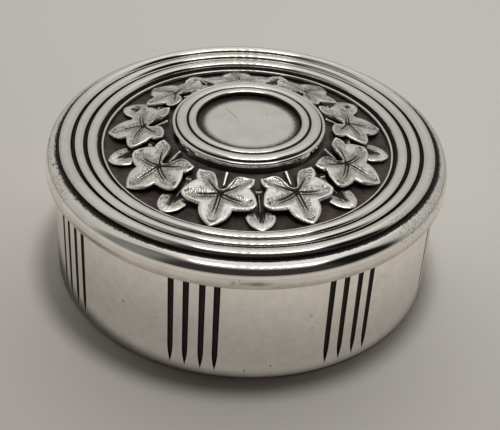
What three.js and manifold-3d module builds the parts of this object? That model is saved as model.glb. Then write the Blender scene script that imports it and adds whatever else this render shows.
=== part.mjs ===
// Round silver box with a lift-off lid. The wall is engraved with groups of pointed grooves.
// The lid has a reeded border, a dark swept ground, a wreath of ivy leaves and a turned boss.
// Millimetres, +Z up, origin at the middle of the base. Azimuth 0 is the front, on the -Y side.
import * as THREE from 'three';
import { mergeVertices } from 'three/addons/utils/BufferGeometryUtils.js';
import Module from 'manifold-3d';

const wasm = await Module();
wasm.setup();

// Body
const BODY_DIAMETER = 72;
const BODY_HEIGHT = 21.85;
const WALL_THICKNESS = 0.9;
const FOOT_CORNER_RADIUS = 0.8;
const FOOT_LIP_WIDTH = 1.3;
const FOOT_LIP_HEIGHT = 0.6;
const BASE_THICKNESS = 0.8;
const COLLAR_THICKNESS = 0.7;
const COLLAR_RISE = 2.6;
const COLLAR_DEPTH = 5;
const COLLAR_LEAD_IN = 0.25;

// Clearances
const SOLDER_GAP = 0.1;
const LID_SEAT_GAP = 0.1;
const LID_SIDE_CLEARANCE = 0.1;
const ORNAMENT_GAP = 0.3;

// Engraved grooves
const GROOVE_GROUPS = 8;
const GROOVES_IN_GROUP = 4;
const GROOVE_PITCH = 2.72;
const GROOVE_WIDTH = 1.15;
const GROOVE_FLOOR_WIDTH = 0.6;
const GROOVE_LOW_WIDTH = 1.05;
const GROOVE_DEPTH = 0.4;
const GROOVE_TOP_MARGIN = 0.3;
const GROOVE_TIP_MARGIN = 1.7;
const GROOVE_POINT_LENGTH = 2.6;
const GROOVE_AZIMUTH = -12.1;

// Lid border
const RIM_OVERHANG = 1.5;
const RIM_WIDTH = 2.3;
const RIM_HEIGHT = 2.25;
const SKIRT_HEIGHT = 2.05;
const SKIRT_THICKNESS = 0.9;
const SKIRT_EDGE_RADIUS = 0.25;
const BORDER_HEIGHT = 4.25;
const BORDER_THICKNESS = 1.1;
const OUTER_REED_WIDTH = 2.8;
const MIDDLE_REED_WIDTH = 2.3;
const INNER_REED_WIDTH = 2.5;
const OUTER_REED_HEIGHT = 1.4;
const LOW_REED_HEIGHT = 0.4;
const REED_GROOVE_RISE = 0.5;
const REED_GROOVE_WIDTH = 0.4;
const COVE_WIDTH = 0.85;
const COVE_DEPTH = 0.3;
const FILLET_WIDTH = 0.5;

// Lid ground
const PANEL_THICKNESS = 0.8;
const PANEL_RISE = 3.9;
const PANEL_SWEEP_POWER = 2.2;
const PANEL_COLLAR_CLEARANCE = 0.6;

// Boss and cartouche
const BOSS_DIAMETER = 28.8;
const BOSS_HEIGHT = 2.4;
const BOSS_SHOULDER = 0.25;
const BOSS_SEAT_MARGIN = 0.2;
const BOSS_LIP_WIDTH = 0.75;
const BOSS_BAND_WIDTH = 2.1;
const BOSS_BEAD_WIDTH = 1.7;
const BOSS_GROOVE_DEPTH = 0.7;
const CARTOUCHE_SINK = 0.95;
const CARTOUCHE_CROWN = 0.1;

// Ivy wreath
const LEAF_COUNT = 9;
const LEAF_AZIMUTH = -12.2;
const LEAF_SIDE_GAP = 1.1;
const LEAF_TIP_MARGIN = 0.45;
const LEAF_ROOT_MARGIN = 0.8;
const LEAF_LIFT = 0.65;
const LEAF_EDGE_THICKNESS = 0.35;
const LEAF_CROWN = 0.35;
const LEAF_VEIN_DEPTH = 0.25;
const STALK_DIAMETER = 0.5;
const STALK_NOTCH_GAP = 0.8;
const SMALL_LEAF_LENGTH = 4.7;
const SMALL_LEAF_WIDTH = 5.3;
const SMALL_LEAF_TIP_MARGIN = 0.4;
const SMALL_LEAF_THICKNESS = 0.4;
const SMALL_STALK_DIAMETER = 0.45;
const BUD_DIAMETER = 1.3;
const BUD_BOSS_DISTANCE = 3.9;

// Facets
const ROUND_SEGMENTS = 60;
const BOSS_SEGMENTS = 40;
const REED_STEPS = 4;
const RIM_STEPS = 5;
const SWEEP_STEPS = 5;
const CURVE_STEPS = 3;
const STALK_SIDES = 5;
const STALK_STEPS = 3;
const BUD_SEGMENTS = 6;

// Places worked out from the sizes above
const wallRadius = BODY_DIAMETER / 2;
const wallInnerRadius = wallRadius - WALL_THICKNESS;
const collarRadius = wallInnerRadius - LID_SIDE_CLEARANCE;
const collarInnerRadius = collarRadius - COLLAR_THICKNESS;
const skirtBottom = BODY_HEIGHT + LID_SEAT_GAP;
const skirtTop = skirtBottom + SKIRT_HEIGHT;
const rimRadius = wallRadius + RIM_OVERHANG;
const skirtInnerRadius = rimRadius - SKIRT_THICKNESS;
const grooveLevel = skirtBottom + BORDER_HEIGHT;
const lowGrooveLevel = grooveLevel + REED_GROOVE_RISE;
const borderUnderside = grooveLevel - BORDER_THICKNESS;
const outerGrooveRadius = rimRadius - RIM_WIDTH;
const secondGrooveRadius = outerGrooveRadius - OUTER_REED_WIDTH;
const thirdGrooveRadius = secondGrooveRadius - MIDDLE_REED_WIDTH;
const innerGrooveRadius = thirdGrooveRadius - INNER_REED_WIDTH;
const fieldRadius = innerGrooveRadius - COVE_WIDTH;
const panelEdgeLevel = borderUnderside - SOLDER_GAP;
const panelRadius = collarInnerRadius - PANEL_COLLAR_CLEARANCE;
const bossRadius = BOSS_DIAMETER / 2;
const bossSeatRadius = bossRadius + BOSS_SEAT_MARGIN;
const bossSeatLevel = panelEdgeLevel + PANEL_RISE;
const bossBottom = bossSeatLevel + SOLDER_GAP;
const bossTop = bossBottom + BOSS_HEIGHT;
const sectorAngle = (2 * Math.PI) / LEAF_COUNT;

const silver = { color: 0xd9d7d2, metalness: 1, roughness: 0.2 };
const satinSilver = { color: 0xc4c3bc, metalness: 1, roughness: 0.35 };
const oxidisedSilver = { color: 0x2c2623, metalness: 0.6, roughness: 0.6 };

const radians = THREE.MathUtils.degToRad;
const point = (x, y) => new THREE.Vector2(x, y);

// One named mesh with its own material.
function piece(name, geometry, finish) {
  const mesh = new THREE.Mesh(geometry, new THREE.MeshStandardMaterial(finish));
  mesh.name = name;
  return mesh;
}

// A solid of revolution about +Z from a profile of (radius, height) points, run anticlockwise.
function turned(profile, segments) {
  return new THREE.LatheGeometry(profile, segments).rotateX(Math.PI / 2);
}

// The same for a ring: the profile is closed on itself.
function turnedRing(profile, segments) {
  return turned([...profile, profile[0].clone()], segments);
}

// Points of an arc of an ellipse from one angle to another, both ends included.
function arc(centreX, centreY, radiusX, radiusY, from, to, steps) {
  const curve = new THREE.EllipseCurve(
    centreX, centreY, radiusX, radiusY, radians(from), radians(to), to < from, 0);
  return curve.getPoints(steps);
}

// Height of the lid ground's upper face: flat under the boss, then swept down to its edge.
function groundHeight(radius) {
  const share = (fieldRadius - radius) / (fieldRadius - bossSeatRadius);
  return panelEdgeLevel + PANEL_RISE * Math.pow(THREE.MathUtils.clamp(share, 0, 1), PANEL_SWEEP_POWER);
}

// A closed geometry as a solid that can be joined or cut.
function toSolid(geometry) {
  const bare = geometry.clone();
  bare.deleteAttribute('normal');
  bare.deleteAttribute('uv');
  const merged = mergeVertices(bare);
  return new wasm.Manifold(new wasm.Mesh({
    numProp: 3,
    vertProperties: new Float32Array(merged.attributes.position.array),
    triVerts: new Uint32Array(merged.index.array),
  }));
}

// A joined or cut solid as a geometry again.
function toGeometry(solid) {
  const mesh = solid.getMesh();
  const geometry = new THREE.BufferGeometry();
  geometry.setAttribute('position', new THREE.BufferAttribute(mesh.vertProperties, 3));
  geometry.setIndex(new THREE.BufferAttribute(mesh.triVerts, 1));
  const flat = geometry.toNonIndexed();
  flat.computeVertexNormals();
  return flat;
}

// A closed solid lofted through rings of equal point counts, from the underside's middle up to the
// top's middle. The rings run anticlockwise seen from above.
function lofted(rings, bottomMiddle, topMiddle) {
  const count = rings[0].length;
  const vertices = [...rings.flat(), bottomMiddle, topMiddle];
  const bottomIndex = vertices.length - 2;
  const topIndex = vertices.length - 1;
  const lastRing = (rings.length - 1) * count;
  const triangles = [];
  for (let side = 0; side < count; side += 1) {
    const next = (side + 1) % count;
    triangles.push(bottomIndex, next, side);
    triangles.push(topIndex, lastRing + side, lastRing + next);
    for (let ring = 0; ring < rings.length - 1; ring += 1) {
      const low = ring * count;
      const high = low + count;
      triangles.push(low + side, low + next, high + next);
      triangles.push(low + side, high + next, high + side);
    }
  }
  const geometry = new THREE.BufferGeometry().setFromPoints(vertices);
  geometry.setIndex(triangles);
  const flat = geometry.toNonIndexed();
  flat.computeVertexNormals();
  return flat;
}

// A round rod along a curve.
function rod(curve, diameter) {
  const section = new THREE.Shape(
    new THREE.EllipseCurve(0, 0, diameter / 2, diameter / 2).getPoints(STALK_SIDES).slice(0, STALK_SIDES));
  return new THREE.ExtrudeGeometry(section, { steps: STALK_STEPS, extrudePath: curve });
}

// The blank wall: a band with a rounded foot turned in to carry the base.
function wallBand() {
  const lipRadius = wallInnerRadius - FOOT_LIP_WIDTH;
  const corner = arc(wallRadius - FOOT_CORNER_RADIUS, FOOT_CORNER_RADIUS,
    FOOT_CORNER_RADIUS, FOOT_CORNER_RADIUS, -90, 0, CURVE_STEPS);
  return turnedRing([
    point(lipRadius, 0),
    ...corner,
    point(wallRadius, BODY_HEIGHT),
    point(wallInnerRadius, BODY_HEIGHT),
    point(wallInnerRadius, FOOT_LIP_HEIGHT),
    point(lipRadius, FOOT_LIP_HEIGHT),
  ], ROUND_SEGMENTS);
}

// The cutter of one engraved groove at the front of the wall: square at its top, tapering to a
// point at its foot, with sloping sides and a narrower floor. The outline is lofted from the floor
// of the groove out past the wall's face.
function grooveCutter() {
  const top = BODY_HEIGHT - GROOVE_TOP_MARGIN;
  const tip = GROOVE_TIP_MARGIN;
  const shoulder = tip + GROOVE_POINT_LENGTH;
  const slope = (GROOVE_WIDTH - GROOVE_FLOOR_WIDTH) / 2;
  const outline = (inset, depth) => {
    const y = -(wallRadius - depth);
    const topHalf = GROOVE_WIDTH / 2 - inset;
    const lowHalf = GROOVE_LOW_WIDTH / 2 - inset;
    return [
      new THREE.Vector3(-topHalf, y, top - inset),
      new THREE.Vector3(-lowHalf, y, shoulder),
      new THREE.Vector3(0, y, tip + inset),
      new THREE.Vector3(lowHalf, y, shoulder),
      new THREE.Vector3(topHalf, y, top - inset),
    ];
  };
  const middle = (depth) => new THREE.Vector3(0, -(wallRadius - depth), (top + shoulder) / 2);
  const rings = [outline(slope, GROOVE_DEPTH), outline(-slope, -GROOVE_DEPTH)];
  return lofted(rings, middle(GROOVE_DEPTH), middle(-GROOVE_DEPTH));
}

// The wall with all its grooves cut.
function engravedWall() {
  const cutter = grooveCutter();
  const groupStep = 360 / GROOVE_GROUPS;
  const pitchAngle = GROOVE_PITCH / wallRadius;
  let wall = toSolid(wallBand());
  for (let group = 0; group < GROOVE_GROUPS; group += 1) {
    const groupAngle = radians(GROOVE_AZIMUTH + group * groupStep);
    for (let groove = 0; groove < GROOVES_IN_GROUP; groove += 1) {
      const angle = groupAngle + (groove - (GROOVES_IN_GROUP - 1) / 2) * pitchAngle;
      wall = wall.subtract(toSolid(cutter.clone().rotateZ(angle)));
    }
  }
  return toGeometry(wall);
}

// The floor disc, resting on the wall's turned-in foot.
function basePlate() {
  const radius = wallInnerRadius - SOLDER_GAP;
  return turned([
    point(0, FOOT_LIP_HEIGHT),
    point(radius, FOOT_LIP_HEIGHT),
    point(radius, FOOT_LIP_HEIGHT + BASE_THICKNESS),
    point(0, FOOT_LIP_HEIGHT + BASE_THICKNESS),
  ], ROUND_SEGMENTS);
}

// The ring inside the wall that stands up into the lid, with its upper edges eased.
function collarRing() {
  const top = BODY_HEIGHT + COLLAR_RISE;
  const bottom = BODY_HEIGHT - COLLAR_DEPTH;
  return turnedRing([
    point(collarInnerRadius, bottom),
    point(collarRadius, bottom),
    point(collarRadius, top - COLLAR_LEAD_IN),
    point(collarRadius - COLLAR_LEAD_IN, top),
    point(collarInnerRadius, top),
  ], ROUND_SEGMENTS);
}

// The plain hoop under the border. It overhangs the wall, and its foot is turned in to sit on the
// wall's edge round the collar.
function skirtRing() {
  const corner = arc(rimRadius - SKIRT_EDGE_RADIUS, skirtBottom + SKIRT_EDGE_RADIUS,
    SKIRT_EDGE_RADIUS, SKIRT_EDGE_RADIUS, -90, 0, CURVE_STEPS);
  return turnedRing([
    point(wallInnerRadius, skirtBottom),
    ...corner,
    point(rimRadius, skirtTop),
    point(skirtInnerRadius, skirtTop),
    point(skirtInnerRadius, skirtBottom + SKIRT_THICKNESS),
    point(wallInnerRadius, skirtBottom + SKIRT_THICKNESS),
  ], ROUND_SEGMENTS);
}

// One reed of the border from its outer groove in to its inner one, two quarters of ellipses.
function reed(outerRadius, width, crest, outerFoot, innerFoot) {
  const half = (width - REED_GROOVE_WIDTH) / 2;
  const middle = outerRadius - width / 2;
  return [
    ...arc(middle, outerFoot, half, crest - outerFoot, 0, 90, REED_STEPS / 2),
    ...arc(middle, innerFoot, half, crest - innerFoot, 90, 180, REED_STEPS / 2).slice(1),
  ];
}

// The turned border: rounded rim, three reeds, cove and fillet over a flat underside.
function borderRing() {
  const rimFoot = skirtTop + SOLDER_GAP;
  const rimEnd = THREE.MathUtils.radToDeg(Math.acos(REED_GROOVE_WIDTH / 2 / RIM_WIDTH));
  const shoulder = arc(outerGrooveRadius, rimFoot, RIM_WIDTH, RIM_HEIGHT, 0, rimEnd, RIM_STEPS);
  const outerCrest = grooveLevel + OUTER_REED_HEIGHT;
  const lowCrest = lowGrooveLevel + LOW_REED_HEIGHT;
  const cove = arc(fieldRadius + FILLET_WIDTH + (COVE_WIDTH - FILLET_WIDTH) / 2, grooveLevel,
    (COVE_WIDTH - FILLET_WIDTH) / 2, COVE_DEPTH, 0, -180, CURVE_STEPS);
  return turnedRing([
    point(skirtInnerRadius, rimFoot),
    ...shoulder,
    point(outerGrooveRadius + REED_GROOVE_WIDTH / 2, grooveLevel),
    ...reed(outerGrooveRadius, OUTER_REED_WIDTH, outerCrest, grooveLevel, lowGrooveLevel),
    ...reed(secondGrooveRadius, MIDDLE_REED_WIDTH, lowCrest, lowGrooveLevel, lowGrooveLevel),
    ...reed(thirdGrooveRadius, INNER_REED_WIDTH, lowCrest, lowGrooveLevel, grooveLevel),
    ...cove,
    point(fieldRadius, grooveLevel),
    point(fieldRadius, borderUnderside),
    point(skirtInnerRadius, borderUnderside),
  ], ROUND_SEGMENTS);
}

// The dark ground: a disc with a flat lap under the border, swept up to a flat seat for the boss.
function groundPanel() {
  const upper = [];
  for (let step = 0; step <= SWEEP_STEPS; step += 1) {
    const radius = THREE.MathUtils.lerp(fieldRadius, bossSeatRadius, step / SWEEP_STEPS);
    upper.push(point(radius, groundHeight(radius)));
  }
  const lower = upper.map((place) => point(place.x, place.y - PANEL_THICKNESS)).reverse();
  return turned([
    point(0, bossSeatLevel - PANEL_THICKNESS),
    ...lower,
    point(panelRadius, panelEdgeLevel - PANEL_THICKNESS),
    point(panelRadius, panelEdgeLevel),
    ...upper,
    point(0, bossSeatLevel),
  ], ROUND_SEGMENTS);
}

// The raised ring in the middle: a sloping shoulder, a thin lip, a broad band and an inner bead.
function bossRing() {
  const grooveTop = bossTop - BOSS_GROOVE_DEPTH;
  const lipOuter = bossRadius - BOSS_SHOULDER;
  const bandOuter = lipOuter - BOSS_LIP_WIDTH;
  const beadOuter = bandOuter - BOSS_BAND_WIDTH;
  const boreRadius = beadOuter - BOSS_BEAD_WIDTH;
  const swell = (outer, width) => arc(
    outer - width / 2, grooveTop, width / 2, BOSS_GROOVE_DEPTH, 0, 180, REED_STEPS).slice(0, -1);
  return turnedRing([
    point(boreRadius, bossBottom),
    point(bossRadius, bossBottom),
    point(lipOuter, grooveTop - BOSS_GROOVE_DEPTH / 2),
    point(lipOuter - BOSS_LIP_WIDTH / 2, grooveTop + BOSS_GROOVE_DEPTH / 4),
    ...swell(bandOuter, BOSS_BAND_WIDTH),
    ...swell(beadOuter, BOSS_BEAD_WIDTH),
    point(boreRadius, grooveTop),
  ], BOSS_SEGMENTS);
}

// The plain disc inside the boss ring, a little crowned.
function cartouchePlate() {
  const boreRadius = bossRadius - BOSS_SHOULDER - BOSS_LIP_WIDTH - BOSS_BAND_WIDTH - BOSS_BEAD_WIDTH;
  const radius = boreRadius - SOLDER_GAP;
  const edge = bossTop - CARTOUCHE_SINK;
  const crownShare = 0.6;
  return turned([
    point(0, bossBottom),
    point(radius, bossBottom),
    point(radius, edge),
    point(radius * crownShare, edge + CARTOUCHE_CROWN * (1 - crownShare * crownShare)),
    point(0, edge + CARTOUCHE_CROWN),
  ], BOSS_SEGMENTS);
}

// Where one wreath sector lies: the leaf runs from its root by the boss out to its tip.
const leafTipRadius = fieldRadius - LEAF_TIP_MARGIN;
const leafRootRadius = bossRadius + LEAF_ROOT_MARGIN;
const leafTipLevel = groundHeight(leafTipRadius) + LEAF_LIFT;
const leafRootLevel = groundHeight(leafRootRadius) + LEAF_LIFT;

// Level of the blade over a share of the leaf's length, 0 at the tip and 1 at the root.
const leafLevel = (along) => THREE.MathUtils.lerp(leafTipLevel, leafRootLevel, along);

// A place on the leaf: across is a share of half the sector's width there, along a share of the length.
function leafPlace(across, along) {
  const radius = THREE.MathUtils.lerp(leafTipRadius, leafRootRadius, along);
  const half = radius * Math.tan(sectorAngle / 2) - LEAF_SIDE_GAP / 2 / Math.cos(sectorAngle / 2);
  return point(across * half, -radius);
}

// Half of the five-lobed outline, from the notch by the stalk round to the tip. Each edge of a lobe
// is a curve that starts at a notch or a tip, bends by its middle place and ends at the next one.
const LEAF_NOTCH = [0, 0.683];
const LEAF_EDGES = [
  { bend: [0.13, 0.69], end: [0.22, 0.81] },
  { bend: [0.34, 1.02], end: [1, 0.985] },
  { bend: [1, 0.865], end: [0.8, 0.79] },
  { bend: [0.98, 0.71], end: [0.99, 0.525] },
  { bend: [0.86, 0.385], end: [0.385, 0.355] },
  { bend: [0.37, 0.145], end: [0, 0] },
];
const LEAF_MIDDLE = [0, 0.55];
const LEAF_PAD_SHARE = 0.28;
const LEAF_CROWN_SHARE = 0.55;

// The whole outline, anticlockwise seen from above, from the notch round by the left side.
function leafOutline() {
  const half = [];
  let start = leafPlace(...LEAF_NOTCH);
  LEAF_EDGES.forEach((edge) => {
    const end = leafPlace(...edge.end);
    const curve = new THREE.QuadraticBezierCurve(start, leafPlace(...edge.bend), end);
    half.push(...curve.getPoints(CURVE_STEPS).slice(0, -1));
    start = end;
  });
  const tip = start;
  const notch = half[0];
  const right = half.slice(1);
  const left = right.map((place) => point(-place.x, place.y));
  return [notch, ...left, tip, ...right.reverse()];
}

// One large leaf: a crowned blade, sunk along the veins that run out to the lobes' tips, on a pad
// that stands on the ground.
function ivyLeaf() {
  const outline = leafOutline();
  const middle = leafPlace(...LEAF_MIDDLE);
  const levelAt = (place) => leafLevel((leafTipRadius + place.y) / (leafTipRadius - leafRootRadius));
  const ring = (share, height) => outline.map((edge, index) => {
    const place = middle.clone().lerp(edge, share);
    return new THREE.Vector3(place.x, place.y, height(place, index));
  });
  const reach = outline.map((edge) => edge.distanceTo(middle));
  const longest = Math.max(...reach);
  const vein = reach.map((length) => length / longest);
  const pad = (place) => groundHeight(place.length()) + ORNAMENT_GAP;
  const under = (place) => levelAt(place) - LEAF_EDGE_THICKNESS;
  const crown = (place, index) => levelAt(place) + LEAF_CROWN - LEAF_VEIN_DEPTH * vein[index];
  return lofted(
    [ring(LEAF_PAD_SHARE, pad), ring(1, under), ring(1, levelAt), ring(LEAF_CROWN_SHARE, crown)],
    new THREE.Vector3(middle.x, middle.y, pad(middle)),
    new THREE.Vector3(middle.x, middle.y, levelAt(middle)),
  );
}

// The stalk of a large leaf, from the boss down towards the leaf's notch.
function leafStalk() {
  const clear = ORNAMENT_GAP + STALK_DIAMETER / 2;
  const startRadius = bossRadius + clear;
  const endRadius = -leafPlace(...LEAF_NOTCH).y - STALK_NOTCH_GAP - STALK_DIAMETER / 2;
  const bendRadius = (startRadius + endRadius) / 2;
  const at = (radius, level) => new THREE.Vector3(0, -radius, level);
  const startLevel = groundHeight(startRadius) + clear;
  const endLevel = groundHeight(endRadius) + clear;
  const bendLevel = (startLevel + endLevel) / 2;
  return rod(new THREE.QuadraticBezierCurve3(
    at(startRadius, startLevel), at(bendRadius, bendLevel), at(endRadius, endLevel)), STALK_DIAMETER);
}

// A small pointed leaf between two large ones, low on the ground, with its stalk and bud.
function smallLeaf() {
  const tipRadius = fieldRadius - SMALL_LEAF_TIP_MARGIN;
  const rootRadius = tipRadius - SMALL_LEAF_LENGTH;
  const half = SMALL_LEAF_WIDTH / 2;
  const place = (x, along) => point(x, -THREE.MathUtils.lerp(tipRadius, rootRadius, along));
  const root = place(0, 1);
  const tip = place(0, 0);
  const shoulderAt = 0.72;
  const tipShare = 0.57;
  const fullness = 0.29;
  const bent = (start, bend, end) => new THREE.QuadraticBezierCurve(start, bend, end).getPoints(CURVE_STEPS);
  const side = (sign) => {
    const shoulder = place(sign * half, shoulderAt);
    return [
      ...bent(root, place(sign * half, 1), shoulder).slice(1),
      ...bent(shoulder, place(sign * half * tipShare, fullness), tip).slice(1, -1),
    ];
  };
  const outline = [root, ...side(-1), tip, ...side(1).reverse()];
  const middle = place(0, shoulderAt);
  const rise = groundHeight(rootRadius) - groundHeight(tipRadius);
  const under = (at) => groundHeight(tipRadius) + ORNAMENT_GAP
    + rise * (tipRadius + at.y) / SMALL_LEAF_LENGTH;
  const upper = (at) => under(at) + SMALL_LEAF_THICKNESS;
  const ring = (height) => outline.map((at) => new THREE.Vector3(at.x, at.y, height(at)));
  const blade = lofted([ring(under), ring(upper)],
    new THREE.Vector3(middle.x, middle.y, under(middle)),
    new THREE.Vector3(middle.x, middle.y, upper(middle) - SMALL_LEAF_THICKNESS / 2));

  const budRadius = bossRadius + BUD_BOSS_DISTANCE;
  const budLevel = groundHeight(budRadius - BUD_DIAMETER / 2) + ORNAMENT_GAP + BUD_DIAMETER / 2;
  const bud = new THREE.SphereGeometry(BUD_DIAMETER / 2, BUD_SEGMENTS, BUD_SEGMENTS / 2);
  bud.rotateX(Math.PI / 2).translate(0, -budRadius, budLevel);
  const stalkEnd = -middle.y;
  const bendRadius = (budRadius + stalkEnd) / 2;
  const clear = ORNAMENT_GAP + SMALL_STALK_DIAMETER / 2;
  const stalk = rod(new THREE.QuadraticBezierCurve3(
    new THREE.Vector3(0, -budRadius, budLevel),
    new THREE.Vector3(0, -bendRadius, groundHeight(bendRadius) + clear),
    new THREE.Vector3(0, -stalkEnd, upper(middle))), SMALL_STALK_DIAMETER);
  return toGeometry(toSolid(blade).add(toSolid(stalk)).add(toSolid(bud)));
}

// Body
const body = new THREE.Group();
body.add(
  piece('body_wall', engravedWall(), silver),
  piece('base_plate', basePlate(), silver),
  piece('collar', collarRing(), silver),
);

// Lid
const lid = new THREE.Group();
lid.add(
  piece('lid_skirt', skirtRing(), silver),
  piece('lid_border', borderRing(), silver),
  piece('lid_panel', groundPanel(), oxidisedSilver),
  piece('boss_ring', bossRing(), silver),
  piece('cartouche_plate', cartouchePlate(), silver),
);

// Wreath, one sector after another round the lid
const leafGeometry = ivyLeaf();
const stalkGeometry = leafStalk();
const smallLeafGeometry = smallLeaf();
for (let index = 0; index < LEAF_COUNT; index += 1) {
  const number = index + 1;
  const leafSector = new THREE.Group();
  leafSector.rotation.z = radians(LEAF_AZIMUTH) + index * sectorAngle;
  leafSector.add(
    piece(`ivy_leaf_${number}`, leafGeometry, satinSilver),
    piece(`leaf_stalk_${number}`, stalkGeometry, satinSilver),
  );
  const gapSector = new THREE.Group();
  gapSector.rotation.z = leafSector.rotation.z + sectorAngle / 2;
  gapSector.add(piece(`small_leaf_${number}`, smallLeafGeometry, satinSilver));
  lid.add(leafSector, gapSector);
}

const box = new THREE.Group();
box.add(body, lid);

export default box;
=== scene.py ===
"""Looks of a low round silver box with a lift-off ivy lid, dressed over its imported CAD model."""

import logging
import math
from dataclasses import dataclass
from enum import Enum
from functools import reduce

import bpy
import numpy as np
from mathutils import Matrix, Vector


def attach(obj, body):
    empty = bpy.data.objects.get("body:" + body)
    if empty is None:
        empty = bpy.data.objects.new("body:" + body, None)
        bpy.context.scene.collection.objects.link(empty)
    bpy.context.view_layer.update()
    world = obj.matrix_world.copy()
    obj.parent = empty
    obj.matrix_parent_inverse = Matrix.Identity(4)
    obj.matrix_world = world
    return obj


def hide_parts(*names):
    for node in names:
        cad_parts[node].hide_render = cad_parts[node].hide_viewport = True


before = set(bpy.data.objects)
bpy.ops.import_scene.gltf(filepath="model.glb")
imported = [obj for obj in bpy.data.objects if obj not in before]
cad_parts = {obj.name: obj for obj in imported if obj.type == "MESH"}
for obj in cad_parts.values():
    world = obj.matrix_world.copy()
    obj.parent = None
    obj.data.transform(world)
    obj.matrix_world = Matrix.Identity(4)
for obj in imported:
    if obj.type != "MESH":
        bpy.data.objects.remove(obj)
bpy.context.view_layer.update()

LOG = logging.getLogger("round_box")
MM = 0.001
FULL_TURN = 2 * math.pi
PATINA = "patina"
STIPPLE = "stipple"
HATCH = "hatch"
STAIN_EDGE = 0.5

Array = np.ndarray
Pair = tuple[float, float]
Triple = tuple[float, float, float]
Colour = tuple[float, float, float, float]
Socket = bpy.types.NodeSocket


class Body(str, Enum):
    """The two bodies that pieces ride on."""

    BOX = "box"
    LID = "lid"


class Slot(str, Enum):
    """The record's material slots."""

    POLISHED = "polished_silver"
    SATIN = "satin_silver"
    OXIDISED = "oxidised_silver"


class Closing(Enum):
    """How the rows of a grid surface end."""

    RING = "the last row joins the first"
    POLES = "the first and the last row are one point each"


def smooth_step(value: Array, low: float, high: float) -> Array:
    """Runs from 0 at low to 1 at high with level ends: t squared times (3 - 2t)."""
    share = np.clip((value - low) / (high - low), 0.0, 1.0)
    return share * share * (3.0 - 2.0 * share)


def bell(distance: Array, width: float | Array) -> Array:
    """A bell curve of a distance: e to the minus (distance / width) squared."""
    return np.exp(-np.square(distance / width))


def ellipse_arc(centre: Pair, radii: Pair,
                start: float, stop: float, steps: int) -> Array:
    """Points of an ellipse's arc: the centre plus the radii times (cosine, sine) of the angle.

    Args:
        centre: Radius and height of the ellipse's middle.
        radii: Half of its width and half of its height.
        start: First angle in degrees.
        stop: Last angle in degrees.
        steps: How many points.

    Returns:
        The points, one row each.
    """
    angle = np.radians(np.linspace(start, stop, steps))
    return np.column_stack((centre[0] + radii[0] * np.cos(angle), centre[1] + radii[1] * np.sin(angle)))


def eased(corners: Array, steps: int = 6) -> Array:
    """A closed outline with its corners rounded.

    At each corner the outline follows (1-t)^2 start + 2t(1-t) corner + t^2 end, where start and end
    lie the corner's ease length along its two sides. A point a little further along each side keeps
    the sides flat when they are shaded smooth.

    Args:
        corners: Radius, height and ease length of each corner, anticlockwise.
        steps: Points in each rounded corner.

    Returns:
        The rounded outline, one row a point.
    """
    hold = 1.4
    places = corners[:, :2]
    ease = corners[:, 2:]
    before = np.roll(places, 1, axis=0) - places
    after = np.roll(places, -1, axis=0) - places
    to_start = ease * before / np.linalg.norm(before, axis=1, keepdims=True)
    to_end = ease * after / np.linalg.norm(after, axis=1, keepdims=True)
    share = np.linspace(0.0, 1.0, steps)[None, :, None]
    curve = places[:, None] + (1 - share) ** 2 * to_start[:, None] + share ** 2 * to_end[:, None]
    first = (places + hold * to_start)[:, None]
    last = (places + hold * to_end)[:, None]
    return np.concatenate((first, curve, last), axis=1).reshape(-1, 2)


def turned(profile: Array, azimuth: Array, depth: Array | float = 0.0) -> Array:
    """A profile carried round the upright axis.

    A point of radius r and height h at azimuth a, counted from the front, is (r sin a, -r cos a, h).

    Args:
        profile: Radius and height of each row.
        azimuth: Azimuth of each column in radians, or of each row and column.
        depth: How far each point is cut in towards the axis.

    Returns:
        Points by row and column.
    """
    radius = profile[:, :1] - depth
    height = profile[:, 1:]
    across = radius * np.sin(azimuth)
    along = -radius * np.cos(azimuth)
    return np.stack(np.broadcast_arrays(across, along, height), axis=-1)


def round_columns(count: int) -> Array:
    """Evenly spread azimuths of a full turn, in radians from the front."""
    return np.linspace(-math.pi, math.pi, count, endpoint=False)


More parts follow.
